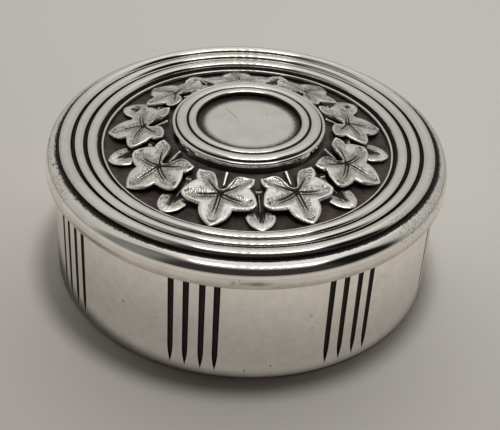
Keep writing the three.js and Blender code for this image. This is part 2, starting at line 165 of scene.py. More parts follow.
@dataclass
class Shell:
    """A closed surface in millimetres, with the values that its finish reads at each point."""

    points: Array
    faces: list[list[int]]
    values: dict[str, Array]

    @classmethod
    def from_grid(cls, grid: Array, closing: Closing, **values: Array) -> "Shell":
        """Closes a grid of points whose columns run anticlockwise round its rows.

        Args:
            grid: Points by row and column.
            closing: How the rows end.
            values: Finish values by name, each by row and column.

        Returns:
            The closed surface.
        """
        rows, columns = grid.shape[:2]
        index = np.arange(rows * columns).reshape(rows, columns)
        if closing is Closing.POLES:
            keep = slice(columns - 1, (rows - 1) * columns + 1)
            index = np.clip(index - (columns - 1), 0, (rows - 2) * columns + 1)
        else:
            keep = slice(None)
            index = np.vstack((index, index[:1]))
        index = np.hstack((index, index[:, :1]))
        flat = {name: np.broadcast_to(value, (rows, columns)).reshape(-1)[keep]
                for name, value in values.items()}
        return cls(grid.reshape(-1, 3)[keep], cls.faces_between(index), flat)

    @staticmethod
    def faces_between(index: Array) -> list[list[int]]:
        """Quads between neighbouring rows and columns. A quad that meets a pole is a triangle."""
        quads = np.stack((index[:-1, :-1], index[:-1, 1:], index[1:, 1:], index[1:, :-1]), axis=-1)
        quads = quads.reshape(-1, 4)
        at_first = quads[:, 0] == quads[:, 1]
        at_last = quads[:, 2] == quads[:, 3]
        whole = quads[~(at_first | at_last)]
        return whole.tolist() + quads[at_first][:, 1:].tolist() + quads[at_last][:, :3].tolist()

    def with_shells(self, *others: "Shell") -> "Shell":
        """This surface and others as one, with the points numbered on."""
        joined = self
        for other in others:
            offset = len(joined.points)
            faces = joined.faces + [[corner + offset for corner in face] for face in other.faces]
            values = {name: np.concatenate((value, other.values[name]))
                      for name, value in joined.values.items()}
            joined = Shell(np.concatenate((joined.points, other.points)), faces, values)
        return joined

    def at_azimuth(self, degrees: float) -> "Shell":
        """The same surface turned anticlockwise about the upright axis."""
        angle = math.radians(degrees)
        cosine, sine = math.cos(angle), math.sin(angle)
        turn = np.array(((cosine, sine, 0.0), (-sine, cosine, 0.0), (0.0, 0.0, 1.0)))
        return Shell(self.points @ turn, self.faces, self.values)

    def mesh(self, name: str) -> bpy.types.Mesh:
        """A smooth Blender mesh in metres with the finish values as point attributes."""
        mesh = bpy.data.meshes.new(name)
        mesh.from_pydata((self.points * MM).tolist(), [], self.faces)
        for label, value in self.values.items():
            attribute = mesh.attributes.new(label, "FLOAT", "POINT")
            attribute.data.foreach_set("value", value.astype(np.float32))
        mesh.polygons.foreach_set("use_smooth", np.ones(len(self.faces), dtype=bool))
        mesh.update()
        return mesh


@dataclass
class Piece:
    """One piece of the visual model, with the node that it stands for."""

    name: str
    shell: Shell
    node: str
    body: Body
    slot: Slot
    material: bpy.types.Material

    def place(self) -> bpy.types.Object:
        """Makes the piece's object, dresses it and lets it ride on its body."""
        piece = bpy.data.objects.new(self.name, self.shell.mesh(self.name))
        bpy.context.scene.collection.objects.link(piece)
        piece.data.materials.append(self.material)
        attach(piece, self.body.value)
        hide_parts(self.node)
        LOG.info("%s stands for %s and rides on %s", self.name, self.node, self.body.value)
        return piece


class Graph:
    """A node tree with short ways to add and join its nodes."""

    def __init__(self, tree: bpy.types.NodeTree) -> None:
        """Starts from an empty tree."""
        self.tree = tree
        self.tree.nodes.clear()

    def feed(self, target: Socket, source: Socket | float | Colour) -> None:
        """Joins a socket to a source, or sets its constant."""
        if isinstance(source, bpy.types.NodeSocket):
            self.tree.links.new(source, target)
        else:
            target.default_value = source

    def node(self, kind: str, **inputs: Socket | float | Colour) -> bpy.types.Node:
        """Adds a node and feeds its named inputs, whose spaces are written as underscores."""
        made = self.tree.nodes.new(kind)
        for label, source in inputs.items():
            self.feed(made.inputs[label.replace("_", " ")], source)
        return made

    def object_places(self) -> Socket:
        """The place on the piece, in metres."""
        return self.node("ShaderNodeTexCoord").outputs["Object"]

    def value_of(self, label: str) -> Socket:
        """A finish value that the mesh carries."""
        made = self.node("ShaderNodeAttribute")
        made.attribute_name = label
        return made.outputs["Fac"]

    def maths(self, operation: str, *sources: Socket | float) -> Socket:
        """One step of arithmetic."""
        made = self.node("ShaderNodeMath")
        made.operation = operation
        for target, source in zip(made.inputs, sources):
            self.feed(target, source)
        return made.outputs[0]

    def product(self, *factors: Socket | float) -> Socket:
        """All factors multiplied in order."""
        return reduce(lambda left, right: self.maths("MULTIPLY", left, right), factors)

    def roughened(self, value: Socket, noise: Socket, amount: float) -> Socket:
        """A value plus noise that is amount wide about 0."""
        return self.maths("ADD", value, self.maths("MULTIPLY_ADD", noise, amount, -amount / 2))

    def spread(self, value: Socket, low: float, high: float,
               start: float = 0.0, stop: float = 1.0) -> Socket:
        """Carries low to start and high to stop with level ends."""
        made = self.node("ShaderNodeMapRange", Value=value, From_Min=low, From_Max=high,
                         To_Min=start, To_Max=stop)
        made.interpolation_type = "SMOOTHSTEP"
        return made.outputs["Result"]

    def noise(self, places: Socket, grain: float, detail: float = 2.0, lumps: float = 0.5) -> Socket:
        """Cloudy noise whose lumps are about grain millimetres across."""
        made = self.node("ShaderNodeTexNoise", Vector=places, Scale=1.0 / (grain * MM),
                         Detail=detail, Roughness=lumps)
        return made.outputs["Fac"]

    def distance(self, places: Socket, point: Triple) -> Socket:
        """Distance in metres from a point that is given in millimetres."""
        made = self.node("ShaderNodeVectorMath")
        made.operation = "DISTANCE"
        self.feed(made.inputs[0], places)
        self.feed(made.inputs[1], tuple(value * MM for value in point))
        return made.outputs["Value"]

    def band(self, value: Socket, low: float, high: float, soft: float) -> Socket:
        """1 between low and high, with soft ends."""
        rising = self.spread(value, low - soft, low + soft)
        falling = self.spread(value, high + soft, high - soft)
        return self.product(rising, falling)

    def dots(self, places: Socket, spacing: float, share: float) -> tuple[Socket, Socket]:
        """Scattered cells: the distance to each cell's dot, and 1 in the share of cells that are used.

        Args:
            places: Where the pattern is read.
            spacing: Size of a cell in millimetres.
            share: Share of the cells that hold a dot.

        Returns:
            The distance as a share of the cell, and the choice.
        """
        made = self.node("ShaderNodeTexVoronoi", Vector=places, Scale=1.0 / (spacing * MM))
        split = self.node("ShaderNodeSeparateColor", Color=made.outputs["Color"])
        return made.outputs["Distance"], self.maths("LESS_THAN", split.outputs[0], share)

    def stretched(self, places: Socket, scale: Triple,
                  turn: Triple = (0.0, 0.0, 0.0),
                  shift: Triple = (0.0, 0.0, 0.0)) -> Socket:
        """Places moved, turned and then stretched, for patterns with a direction of their own."""
        made = self.node("ShaderNodeMapping", Vector=places, Scale=scale, Rotation=turn, Location=shift)
        return made.outputs["Vector"]

    def mixed(self, share: Socket | float, first: Socket | Colour, second: Socket | Colour) -> Socket:
        """A colour between two."""
        made = self.node("ShaderNodeMix")
        made.data_type = "RGBA"
        self.feed(made.inputs[0], share)
        self.feed(made.inputs[6], first)
        self.feed(made.inputs[7], second)
        return made.outputs[2]

    def between(self, share: Socket | float, first: Socket | float, second: Socket | float) -> Socket:
        """A number between two."""
        made = self.node("ShaderNodeMix")
        self.feed(made.inputs[0], share)
        self.feed(made.inputs[2], first)
        self.feed(made.inputs[3], second)
        return made.outputs[0]

    def relief(self, height: Socket, depth: float, under: Socket | None = None) -> Socket:
        """A bumped normal, where a height of 1 stands depth millimetres proud."""
        made = self.node("ShaderNodeBump", Height=height, Distance=depth * MM, Strength=1.0)
        if under is not None:
            self.feed(made.inputs["Normal"], under)
        return made.outputs["Normal"]

    def either(self, share: Socket, first: Socket, second: Socket) -> Socket:
        """The first shader, or the second where the share is 1."""
        made = self.node("ShaderNodeMixShader")
        for target, source in zip(made.inputs, (share, first, second)):
            self.feed(target, source)
        return made.outputs[0]

    def mirrored_ray(self) -> Socket:
        """1 for what polished metal mirrors straight to the camera."""
        path = self.node("ShaderNodeLightPath")
        before_matt_surfaces = 0.5
        straight = self.maths("LESS_THAN", path.outputs["Diffuse Depth"], before_matt_surfaces)
        return self.maths("MULTIPLY", path.outputs["Is Glossy Ray"], straight)

    def surface(self, **inputs: Socket | float | Colour) -> None:
        """Ends a material in one shader."""
        shader = self.node("ShaderNodeBsdfPrincipled", **inputs)
        self.node("ShaderNodeOutputMaterial", Surface=shader.outputs[0])


def new_material(name: str) -> tuple[bpy.types.Material, Graph]:
    """An empty material and its node tree."""
    material = bpy.data.materials.new(name)
    material.use_nodes = True
    return material, Graph(material.node_tree)


@dataclass(frozen=True)
class Scratch:
    """One scratch on a flat face: its middle, its half length and half width in mm, and its turn."""

    across: float
    along: float
    half_length: float
    half_width: float
    turn: float
    strength: float = 0.8

    def mask(self, graph: Graph, places: Socket) -> Socket:
        """Its strength on the scratch, 0 beside it."""
        angle = math.radians(self.turn)
        cosine, sine = math.cos(angle), math.sin(angle)
        shift = (-(self.across * cosine - self.along * sine) * MM,
                 -(self.across * sine + self.along * cosine) * MM, 0.0)
        moved = graph.stretched(places, (1.0, 1.0, 1.0), (0.0, 0.0, angle), shift)
        split = graph.node("ShaderNodeSeparateXYZ", Vector=moved)
        side = graph.maths("ABSOLUTE", split.outputs[1])
        reach = graph.maths("ABSOLUTE", split.outputs[0])
        thin = graph.spread(side, self.half_width * MM, 0.0)
        short = graph.spread(reach, self.half_length * MM, self.half_length * MM / 2)
        return graph.product(thin, short, self.strength)


@dataclass(frozen=True)
class Spot:
    """One small dark mark: its place and radius in mm, its darkness and the size of any grains."""

    place: Triple
    radius: float
    strength: float = 0.6
    grain: float = 0.0
    core_ratio: float = 3.0
    grain_noise: Pair = (3.0, 0.7)
    grain_spread: Pair = (0.52, 0.66)

    def mask(self, graph: Graph, places: Socket) -> Socket:
        """Its strength in its middle, 0 outside its radius."""
        away = graph.distance(places, self.place)
        inside = graph.spread(away, self.radius * MM, self.radius * MM / self.core_ratio)
        if self.grain:
            speckle = graph.noise(places, self.grain, *self.grain_noise)
            inside = graph.product(inside, graph.spread(speckle, *self.grain_spread))
        return graph.product(inside, self.strength)


@dataclass(frozen=True)
class DarkPatch:
    """A soft darker patch on a turned face: its strength, and its middle and half width both ways."""

    strength: float
    azimuth: float
    half_turn: float
    height: float
    half_height: float

    def patina(self, degrees: Array, height: Array) -> Array:
        """Its strength in its middle, which falls off by bell curves round the face and up it."""
        sideways = bell(degrees - self.azimuth, self.half_turn)
        return self.strength * sideways * bell(height - self.height, self.half_height)


@dataclass(frozen=True)
class Pattern:
    """Cloudy noise on a piece: grain in mm, detail, strength of its small lumps, and its direction.

    The ends are the two values of the noise that are carried to 0 and 1.
    """

    grain: float
    detail: float = 2.0
    lumps: float = 0.5
    ends: Pair = (0.0, 1.0)
    stretch: Triple | None = None
    turn: Triple = (0.0, 0.0, 0.0)

    def noise(self, graph: Graph, places: Socket) -> Socket:
        """The noise itself, stretched if it has a direction."""
        if self.stretch:
            places = graph.stretched(places, self.stretch, self.turn)
        return graph.noise(places, self.grain, self.detail, self.lumps)

    def level(self, graph: Graph, places: Socket) -> Socket:
        """The noise carried from its ends to 0 and 1."""
        return graph.spread(self.noise(graph, places), *self.ends)


@dataclass(frozen=True)
class PolishedSilver:
    """Hand-polished silver with dark patina left in its grooves, fine wear and a few pits."""

    name: str
    bright: Colour = (0.88, 0.86, 0.82, 1.0)
    dull: Colour = (0.8, 0.78, 0.735, 1.0)
    brown: Colour = (0.12, 0.092, 0.07, 1.0)
    dark: Colour = (0.016, 0.012, 0.0105, 1.0)
    polish: float = 0.085
    haze: float = 0.17
    dark_roughness: float = 0.5
    dark_metallic: float = 0.55
    fringe: Pattern = Pattern(0.35, 5.0, 0.65)
    raggedness: float = 0.35
    edge_softness: float = 0.12
    cloud: Pattern = Pattern(6.0, 4.0, 0.6, (0.35, 0.7))
    hair: Pattern = Pattern(0.9, 3.0, 0.7, (0.42, 0.75), (1.0, 9.0, 1.0), (0.3, 0.5, 0.9))
    wipe: Pattern = Pattern(1.1, 3.0, 0.7, (0.3, 0.8), (8.0, 1.0, 1.0), (0.7, 0.2, 0.4))
    wear_depth: float = 0.004
    stain_depth_ratio: float = 4.0
    pit_share: float = 0.05
    pit_spacing: float = 3.0
    pit_size: float = 0.045
    pit_strength: float = 0.8
    marks: tuple[Scratch | Spot, ...] = ()

    def material(self) -> bpy.types.Material:
        """Patina by the mesh's own value, brown at its ragged edge, over silver with cloudy polish."""
        material, graph = new_material(self.name)
        places = graph.object_places()
        fringe = self.fringe.noise(graph, places)
        edge = graph.roughened(graph.value_of(PATINA), fringe, self.raggedness)
        stain = graph.spread(edge, STAIN_EDGE - self.edge_softness, STAIN_EDGE + self.edge_softness)
        deep = graph.spread(edge, STAIN_EDGE, STAIN_EDGE + 2 * self.edge_softness)
        distance, chosen = graph.dots(places, self.pit_spacing, self.pit_share)
        pit = graph.spread(distance, self.pit_size, self.pit_size / 2)
        marked = graph.product(pit, chosen, self.pit_strength)
        for mark in self.marks:
            marked = graph.maths("MAXIMUM", marked, mark.mask(graph, places))
        stain = graph.maths("MAXIMUM", stain, marked)
        deep = graph.maths("MAXIMUM", deep, marked)
        cloud = self.cloud.noise(graph, places)
        silver = graph.mixed(graph.spread(cloud, *self.cloud.ends), self.bright, self.dull)
        wear = graph.product(self.hair.level(graph, places), self.wipe.level(graph, places))
        silver_roughness = graph.between(wear, self.polish, self.haze)
        relief = graph.relief(graph.maths("ADD", wear, cloud), self.wear_depth)
        clean = graph.maths("SUBTRACT", 1.0, stain)
        relief = graph.relief(clean, self.wear_depth * self.stain_depth_ratio, relief)
        graph.surface(
            Base_Color=graph.mixed(stain, silver, graph.mixed(deep, self.brown, self.dark)),
            Metallic=graph.between(stain, 1.0, self.dark_metallic),
            Roughness=graph.between(stain, silver_roughness, self.dark_roughness),
            Normal=relief,
        )
        return material


@dataclass(frozen=True)
class SatinSilver:
    """Struck silver, softly polished on its high places, and hatched, dotted and dark along its veins."""

    name: str
    bright: Colour = (0.9, 0.885, 0.84, 1.0)
    dull: Colour = (0.64, 0.62, 0.57, 1.0)
    dark: Colour = (0.02, 0.016, 0.0135, 1.0)
    polish: float = 0.15
    haze: float = 0.26
    dark_roughness: float = 0.55
    dark_metallic: float = 0.5
    fringe: Pattern = Pattern(0.3, 4.0, 0.65)
    raggedness: float = 0.4
    stain_spread: Pair = (0.3, 0.7)
    hatch_pitch: float = 0.3
    hatch_wander: float = 7.0
    wander: Pattern = Pattern(0.8)
    stroke_spread: Pair = (-0.2, 0.5)
    stroke_share: float = 0.85
    stroke_depth_ratio: float = 2.0
    breaks: Pattern = Pattern(0.2, ends=(0.4, 0.5))
    patches: Pattern = Pattern(0.9, 3.0, 0.6)
    patchiness: float = 1.4
    patch_spread: Pair = (0.14, 0.48)
    dots: Pattern = Pattern(0.28, 1.0, 0.4, (0.53, 0.6))
    dot_share: float = 0.5
    dimples: Pattern = Pattern(0.28, 1.0, 0.5)
    dimple_depth: float = 0.02
    cloud: Pattern = Pattern(1.6, 4.0, 0.6, (0.4, 0.85))
    hatched_dullness: float = 0.25
    brush: Pattern = Pattern(0.6, 3.0, 0.7, (0.35, 0.7), (1.0, 5.0, 1.0), (0.2, 0.3, 0.7))
    brush_depth: float = 0.012

    def material(self) -> bpy.types.Material:
        """Patina by the mesh's own value, with strokes, dots and dimples where the mesh is hatched."""
        material, graph = new_material(self.name)
        places = graph.object_places()
        fringe = self.fringe.noise(graph, places)
        edge = graph.roughened(graph.value_of(PATINA), fringe, self.raggedness)
        stain = graph.spread(edge, *self.stain_spread)
        wander = graph.product(self.wander.noise(graph, places), self.hatch_wander)
        turn = graph.maths("MULTIPLY_ADD", graph.value_of(HATCH), FULL_TURN / self.hatch_pitch, wander)
        stroke = graph.spread(graph.maths("SINE", turn), *self.stroke_spread)
        hatched = graph.value_of(STIPPLE)
        patchy = graph.roughened(hatched, self.patches.noise(graph, places), self.patchiness)
        strength = graph.spread(patchy, *self.patch_spread)
        strokes = graph.product(stroke, strength, self.breaks.level(graph, places))
        stain = graph.maths("MAXIMUM", stain, graph.product(strokes, self.stroke_share))
        dots = graph.product(self.dots.level(graph, places), strength, self.dot_share)
        stain = graph.maths("MAXIMUM", stain, dots)
        cloud = self.cloud.noise(graph, places)
        cloud = graph.maths("MULTIPLY_ADD", hatched, self.hatched_dullness, cloud)
        silver = graph.mixed(graph.spread(cloud, *self.cloud.ends), self.bright, self.dull)
        brushed = self.brush.noise(graph, places)
        roughness = graph.between(graph.spread(brushed, *self.brush.ends), self.polish, self.haze)
        relief = graph.relief(brushed, self.brush_depth)
        uncut = graph.maths("SUBTRACT", 1.0, strokes)
        relief = graph.relief(uncut, self.brush_depth * self.stroke_depth_ratio, relief)
        dimples = graph.product(self.dimples.noise(graph, places), hatched)
        relief = graph.relief(dimples, self.dimple_depth, relief)
        graph.surface(
            Base_Color=graph.mixed(stain, silver, self.dark),
            Metallic=graph.between(stain, 1.0, self.dark_metallic),
            Roughness=graph.between(stain, roughness, self.dark_roughness),
            Normal=relief,
        )
        return material


@dataclass(frozen=True)
class OxidisedSilver:
    """Matt brown-black oxidised ground with a faint mottle."""

    name: str
    brown: Colour = (0.105, 0.08, 0.072, 1.0)
    black: Colour = (0.055, 0.043, 0.041, 1.0)
    metallic: float = 0.5
    smooth: float = 0.42
    matt: float = 0.62
    mottle: Pattern = Pattern(1.8, 5.0, 0.65, (0.35, 0.65))
    fine: Pattern = Pattern(0.22, 3.0, 0.6, (0.3, 0.7))
    fine_depth: float = 0.012

    def material(self) -> bpy.types.Material:
        """Two dark tones by cloudy noise, with a fine grain."""
        material, graph = new_material(self.name)
        places = graph.object_places()
        tone = self.mottle.level(graph, places)
        fine = self.fine.noise(graph, places)
        graph.surface(
            Base_Color=graph.mixed(tone, self.brown, self.black),
            Metallic=self.metallic,
            Roughness=graph.between(graph.spread(fine, *self.fine.ends), self.smooth, self.matt),
            Normal=graph.relief(fine, self.fine_depth),
        )
        return material


@dataclass(frozen=True)
class PaleFloor:
    """Plain pale floor with painted shade that makes it a little darker towards the near left.

    Metal mirrors it as a plain painted tone, with a painted contact shadow by the foot of the box, and
    darker far away. Radii and middles are in mm, and light_at and painted_shade_at are places on the
    diagonal in metres.
    """

    name: str = "pale_floor"
    light: Colour = (0.8, 0.78, 0.75, 1.0)
    painted_shade: Colour = (0.66, 0.61, 0.567, 1.0)
    roughness: float = 0.9
    sideways_share: float = 0.5
    light_at: float = 0.14
    painted_shade_at: float = -0.12
    mirrored: Colour = (0.55, 0.508, 0.46, 1.0)
    mirrored_shadow_near: Colour = (0.3, 0.276, 0.251, 1.0)
    mirrored_far: Colour = (0.29, 0.278, 0.258, 1.0)
    near_radii: Pair = (33.0, 60.0)
    fade_radii: Pair = (80.0, 300.0)
    mirrored_middle: Triple = (-4.0, -8.0, 0.0)
    contact_shadow_radii: Pair = (36.0, 38.6)
    contact_shadow_middle: Triple = (-0.9, 0.0, 0.0)
    contact_shadow_tone: float = 0.2

    def material(self) -> bpy.types.Material:
        """A soft change of tone along the diagonal from the near left to the far right."""
        material, graph = new_material(self.name)
        places = graph.object_places()
        split = graph.node("ShaderNodeSeparateXYZ", Vector=places)
        diagonal = graph.maths("MULTIPLY_ADD", split.outputs[0], self.sideways_share, split.outputs[1])
        # painted shade: the floor's colour darkens along the diagonal towards the near left
        tone = graph.mixed(graph.spread(diagonal, self.painted_shade_at, self.light_at), self.painted_shade, self.light)
        matt = graph.node("ShaderNodeBsdfPrincipled", Base_Color=tone, Roughness=self.roughness)
        away = graph.distance(places, self.mirrored_middle)
        near, fade, contact = (tuple(radius * MM for radius in radii)
                               for radii in (self.near_radii, self.fade_radii, self.contact_shadow_radii))
        from_box = graph.distance(places, self.contact_shadow_middle)
        # painted shadow: the tone that metal mirrors dims by the foot of the box
        strength = graph.spread(from_box, *contact, self.contact_shadow_tone, 1.0)
        mirrored = graph.mixed(graph.spread(away, *near), self.mirrored_shadow_near, self.mirrored)
        mirrored = graph.mixed(graph.spread(away, *fade), mirrored, self.mirrored_far)
        # painted reflection: metal sees this plain tone instead of the floor's own shading
        plain = graph.node("ShaderNodeEmission", Color=mirrored, Strength=strength)
        seen = graph.either(graph.mirrored_ray(), matt.outputs[0], plain.outputs[0])
        graph.node("ShaderNodeOutputMaterial", Surface=seen)
        material.cycles.emission_sampling = "NONE"
        return material


@dataclass
class BoxBody:
    """The lower half of the box: the engraved wall, the floor and the collar. Sizes in mm."""

    wall_radius: float = 36.0
    wall_thickness: float = 0.9
    wall_height: float = 21.85
    foot_radius: float = 0.8
    foot_lip: float = 1.3
    foot_lip_height: float = 0.6
    edge_ease: float = 0.15
    floor_radius: float = 35.0
    floor_thickness: float = 0.8
    collar_radius: float = 35.0
    collar_thickness: float = 0.7
    collar_bottom: float = 16.85
    collar_top: float = 24.45
    collar_lead: float = 0.3
    groups: int = 8
    group_azimuth: float = -12.1
    first_group_shift: float = 0.3
    groove_places: tuple[float, ...] = (-4.08, -1.36, 1.48, 4.0)
    groove_top: float = 21.55
    groove_shoulder: float = 6.0
    groove_tip: float = 1.7
    top_half_width: float = 0.575
    low_half_width: float = 0.52
    groove_depth: float = 0.4
    groove_floor_share: float = 0.5
    thinnest: float = 0.04
    groove_shares: tuple[float, ...] = (0.0, 0.3, 0.55, 0.8, 0.94, 1.0, 1.07, 1.3)
    stained_share: float = 0.97
    run_out_length: float = 1.1
    run_out_power: float = 0.6
    above_grooves: float = 0.03
    fill_pitch: float = 0.8
    fewest_fills: int = 4
    foot_points: int = 12
    foot_rows: int = 5
    groove_rows: int = 22
    edge_points: int = 6
    floor_edge_points: int = 5
    floor_rows: int = 14
    floor_columns: int = 240
    corner_width: float = 2.2
    corner_patina: float = 0.55
    collar_columns: int = 300
    collar_patina: float = 0.35
    stain_above: float = 0.6
    stain_below: float = 0.4
    finish: PolishedSilver = PolishedSilver(
        "wall_silver", raggedness=0.12, edge_softness=0.2, polish=0.14, haze=0.2, pit_share=0.1,
        cloud=Pattern(1.8, 4.0, 0.6, (0.35, 0.7)), marks=(
            Spot((12.72, -33.68, 13.88), 0.5, 0.3), Spot((13.12, -33.52, 11.01), 0.3, 0.35),
            Spot((-13.96, -33.18, 10.76), 0.25, 0.5), Spot((-16.56, -31.96, 0.6), 0.6, 0.6, 0.3),
            Spot((1.92, -35.95, 2.13), 0.3, 0.6), Spot((6.4, -35.43, 3.22), 0.3, 0.6),
            Spot((-19.86, -30.03, 11.41), 0.35, 0.6), Spot((-21.81, -28.64, 10.04), 0.25, 0.45),
            Spot((24.92, -25.98, 16.63), 2.2, 0.35, 0.35),
        ))

    def build(self) -> list[Piece]:
        """The three pieces of the lower half, dressed."""
        silver = self.finish.material()
        return [
            Piece("wall_engraved", self.wall(), "body_wall", Body.BOX, Slot.POLISHED, silver),
            Piece("floor_disc", self.floor(), "base_plate", Body.BOX, Slot.POLISHED, silver),
            Piece("collar_band", self.collar(), "collar", Body.BOX, Slot.POLISHED, silver),
        ]

    def _groove_half_width(self, height: Array) -> Array:
        """Half the groove's width: it narrows to the shoulder, then runs out to a point in two curves."""
        upper = np.interp(height, (self.groove_shoulder, self.groove_top),
                          (self.low_half_width, self.top_half_width))
        to_tip = np.clip((height - self.groove_tip) / (self.groove_shoulder - self.groove_tip), 0.0, 1.0)
        return np.maximum(upper * (1.0 - (1.0 - to_tip) ** 2), self.thinnest)

    def _wall_profile(self) -> Array:
        """The wall's closed section: rounded foot, face, eased top edge and turned-in lip."""
        inner = self.wall_radius - self.wall_thickness
        lip = inner - self.foot_lip
        ease = self.edge_ease
        top = self.wall_height
        foot = ellipse_arc((self.wall_radius - self.foot_radius, self.foot_radius),
                           (self.foot_radius, self.foot_radius), -90.0, 0.0, self.foot_points)
        heights = np.concatenate((
            np.linspace(self.foot_radius, self.groove_tip, self.foot_rows)[1:-1],
            np.linspace(self.groove_tip, self.groove_shoulder, self.groove_rows),
            np.linspace(self.groove_shoulder, self.groove_top, self.groove_rows)[1:],
            (self.groove_top + self.above_grooves, top - 2 * ease),
        ))
        face = np.column_stack((np.full_like(heights, self.wall_radius), heights))
        points = self.edge_points
        outer_edge = ellipse_arc((self.wall_radius - ease, top - ease), (ease, ease), 0.0, 90.0, points)
        inner_edge = ellipse_arc((inner + ease, top - ease), (ease, ease), 90.0, 180.0, points)
        inside = np.array(((inner, top / 2), (inner, self.foot_lip_height), (lip, self.foot_lip_height),
                           (lip, ease), (lip + ease, 0.0), (lip + 2 * ease, 0.0)))
        return np.concatenate((foot, face, outer_edge, inner_edge, inside))

    def wall(self) -> Shell:
        """The engraved wall.

        The section is carried round the axis. Fifteen columns follow each groove: their distance from
        its middle is a fixed share of its half width at that height, so that they close up towards its
        point. The cut is the groove's depth times a share across, 0 at the edges and 1 on the floor,
        times a share that dies out at the tip. Other columns fill the plain wall between.
        """
        plain_wall = 2.0
        tolerance = 0.001
        profile = self._wall_profile()
        height = profile[:, 1]
        on_face = np.isclose(profile[:, 0], self.wall_radius)
        half = np.where(on_face, self._groove_half_width(height), self.thinnest)[:, None]
        inner_shares = np.array(self.groove_shares)
        shares = np.concatenate((-inner_shares[:0:-1], inner_shares))
        group_step = FULL_TURN / self.groups
        starts = math.radians(self.group_azimuth) + group_step * np.arange(self.groups)
        starts[0] += math.radians(self.first_group_shift)
        places = np.array(self.groove_places) / self.wall_radius
        centres = (starts[:, None] + places[None, :]).ravel()
        following = np.append(centres[1:], centres[0] + FULL_TURN)
        columns = []
        share_of_column = []
        edge = half * shares[-1] / self.wall_radius
        for centre, after in zip(centres, following):
            gap = (after - centre) * self.wall_radius
            fills = max(self.fewest_fills, round(gap / self.fill_pitch))
            step = np.linspace(0.0, 1.0, fills + 1)[1:-1]
            columns.append(centre + half * shares / self.wall_radius)
            columns.append((centre + edge) * (1 - step) + (after - edge) * step)
            share_of_column.append(shares)
            share_of_column.append(np.full(len(step), plain_wall))
        azimuth = np.concatenate(columns, axis=1)
        across = np.abs(np.concatenate(share_of_column))[None, :]
        within = on_face & (height >= self.groove_tip) & (height <= self.groove_top + tolerance)
        past_tip = np.clip((height - self.groove_tip) / self.run_out_length, 0.0, 1.0)
        run_out = past_tip ** self.run_out_power * within
        cut = np.clip((1.0 - across) / (1.0 - self.groove_floor_share), 0.0, 1.0)
        depth = self.groove_depth * cut * run_out[:, None]
        patina = ((across < self.stained_share) & within[:, None]).astype(float)
        return Shell.from_grid(turned(profile, azimuth, depth), Closing.RING, **{PATINA: patina})

    def floor(self) -> Shell:
        """The floor disc: an eased section carried round the axis from pole to pole."""
        bottom = self.foot_lip_height
        top = bottom + self.floor_thickness
        radius = self.floor_radius
        ease = self.edge_ease
        points = self.floor_edge_points
        lower = ellipse_arc((radius - ease, bottom + ease), (ease, ease), -90.0, 0.0, points)
        upper = ellipse_arc((radius - ease, top - ease), (ease, ease), 0.0, 90.0, points)
        inward = np.linspace(radius - 2 * ease, 0.0, self.floor_rows)
        base = np.column_stack((inward[::-1], np.full_like(inward, bottom)))
        cap = np.column_stack((inward, np.full_like(inward, top)))
        profile = np.concatenate((base, lower, upper, cap))
        corner = smooth_step(profile[:, :1], radius - self.corner_width, radius) * self.corner_patina
        grid = turned(profile, round_columns(self.floor_columns))
        return Shell.from_grid(grid, Closing.POLES, **{PATINA: corner})

    def collar(self) -> Shell:
        """The collar: a thin eased band carried round the axis."""
        inner = self.collar_radius - self.collar_thickness
        lead = self.collar_lead
        ease = self.edge_ease
        profile = eased(np.array((
            (inner, self.collar_bottom, ease),
            (self.collar_radius, self.collar_bottom, ease),
            (self.collar_radius, self.collar_top, lead),
            (inner, self.collar_top, ease),
        )))
        clear = -self.wall_height - self.stain_above
        stained = -self.wall_height + self.stain_below
        low = smooth_step(-profile[:, 1:], clear, stained) * self.collar_patina
        grid = turned(profile, round_columns(self.collar_columns))
        return Shell.from_grid(grid, Closing.RING, **{PATINA: low})


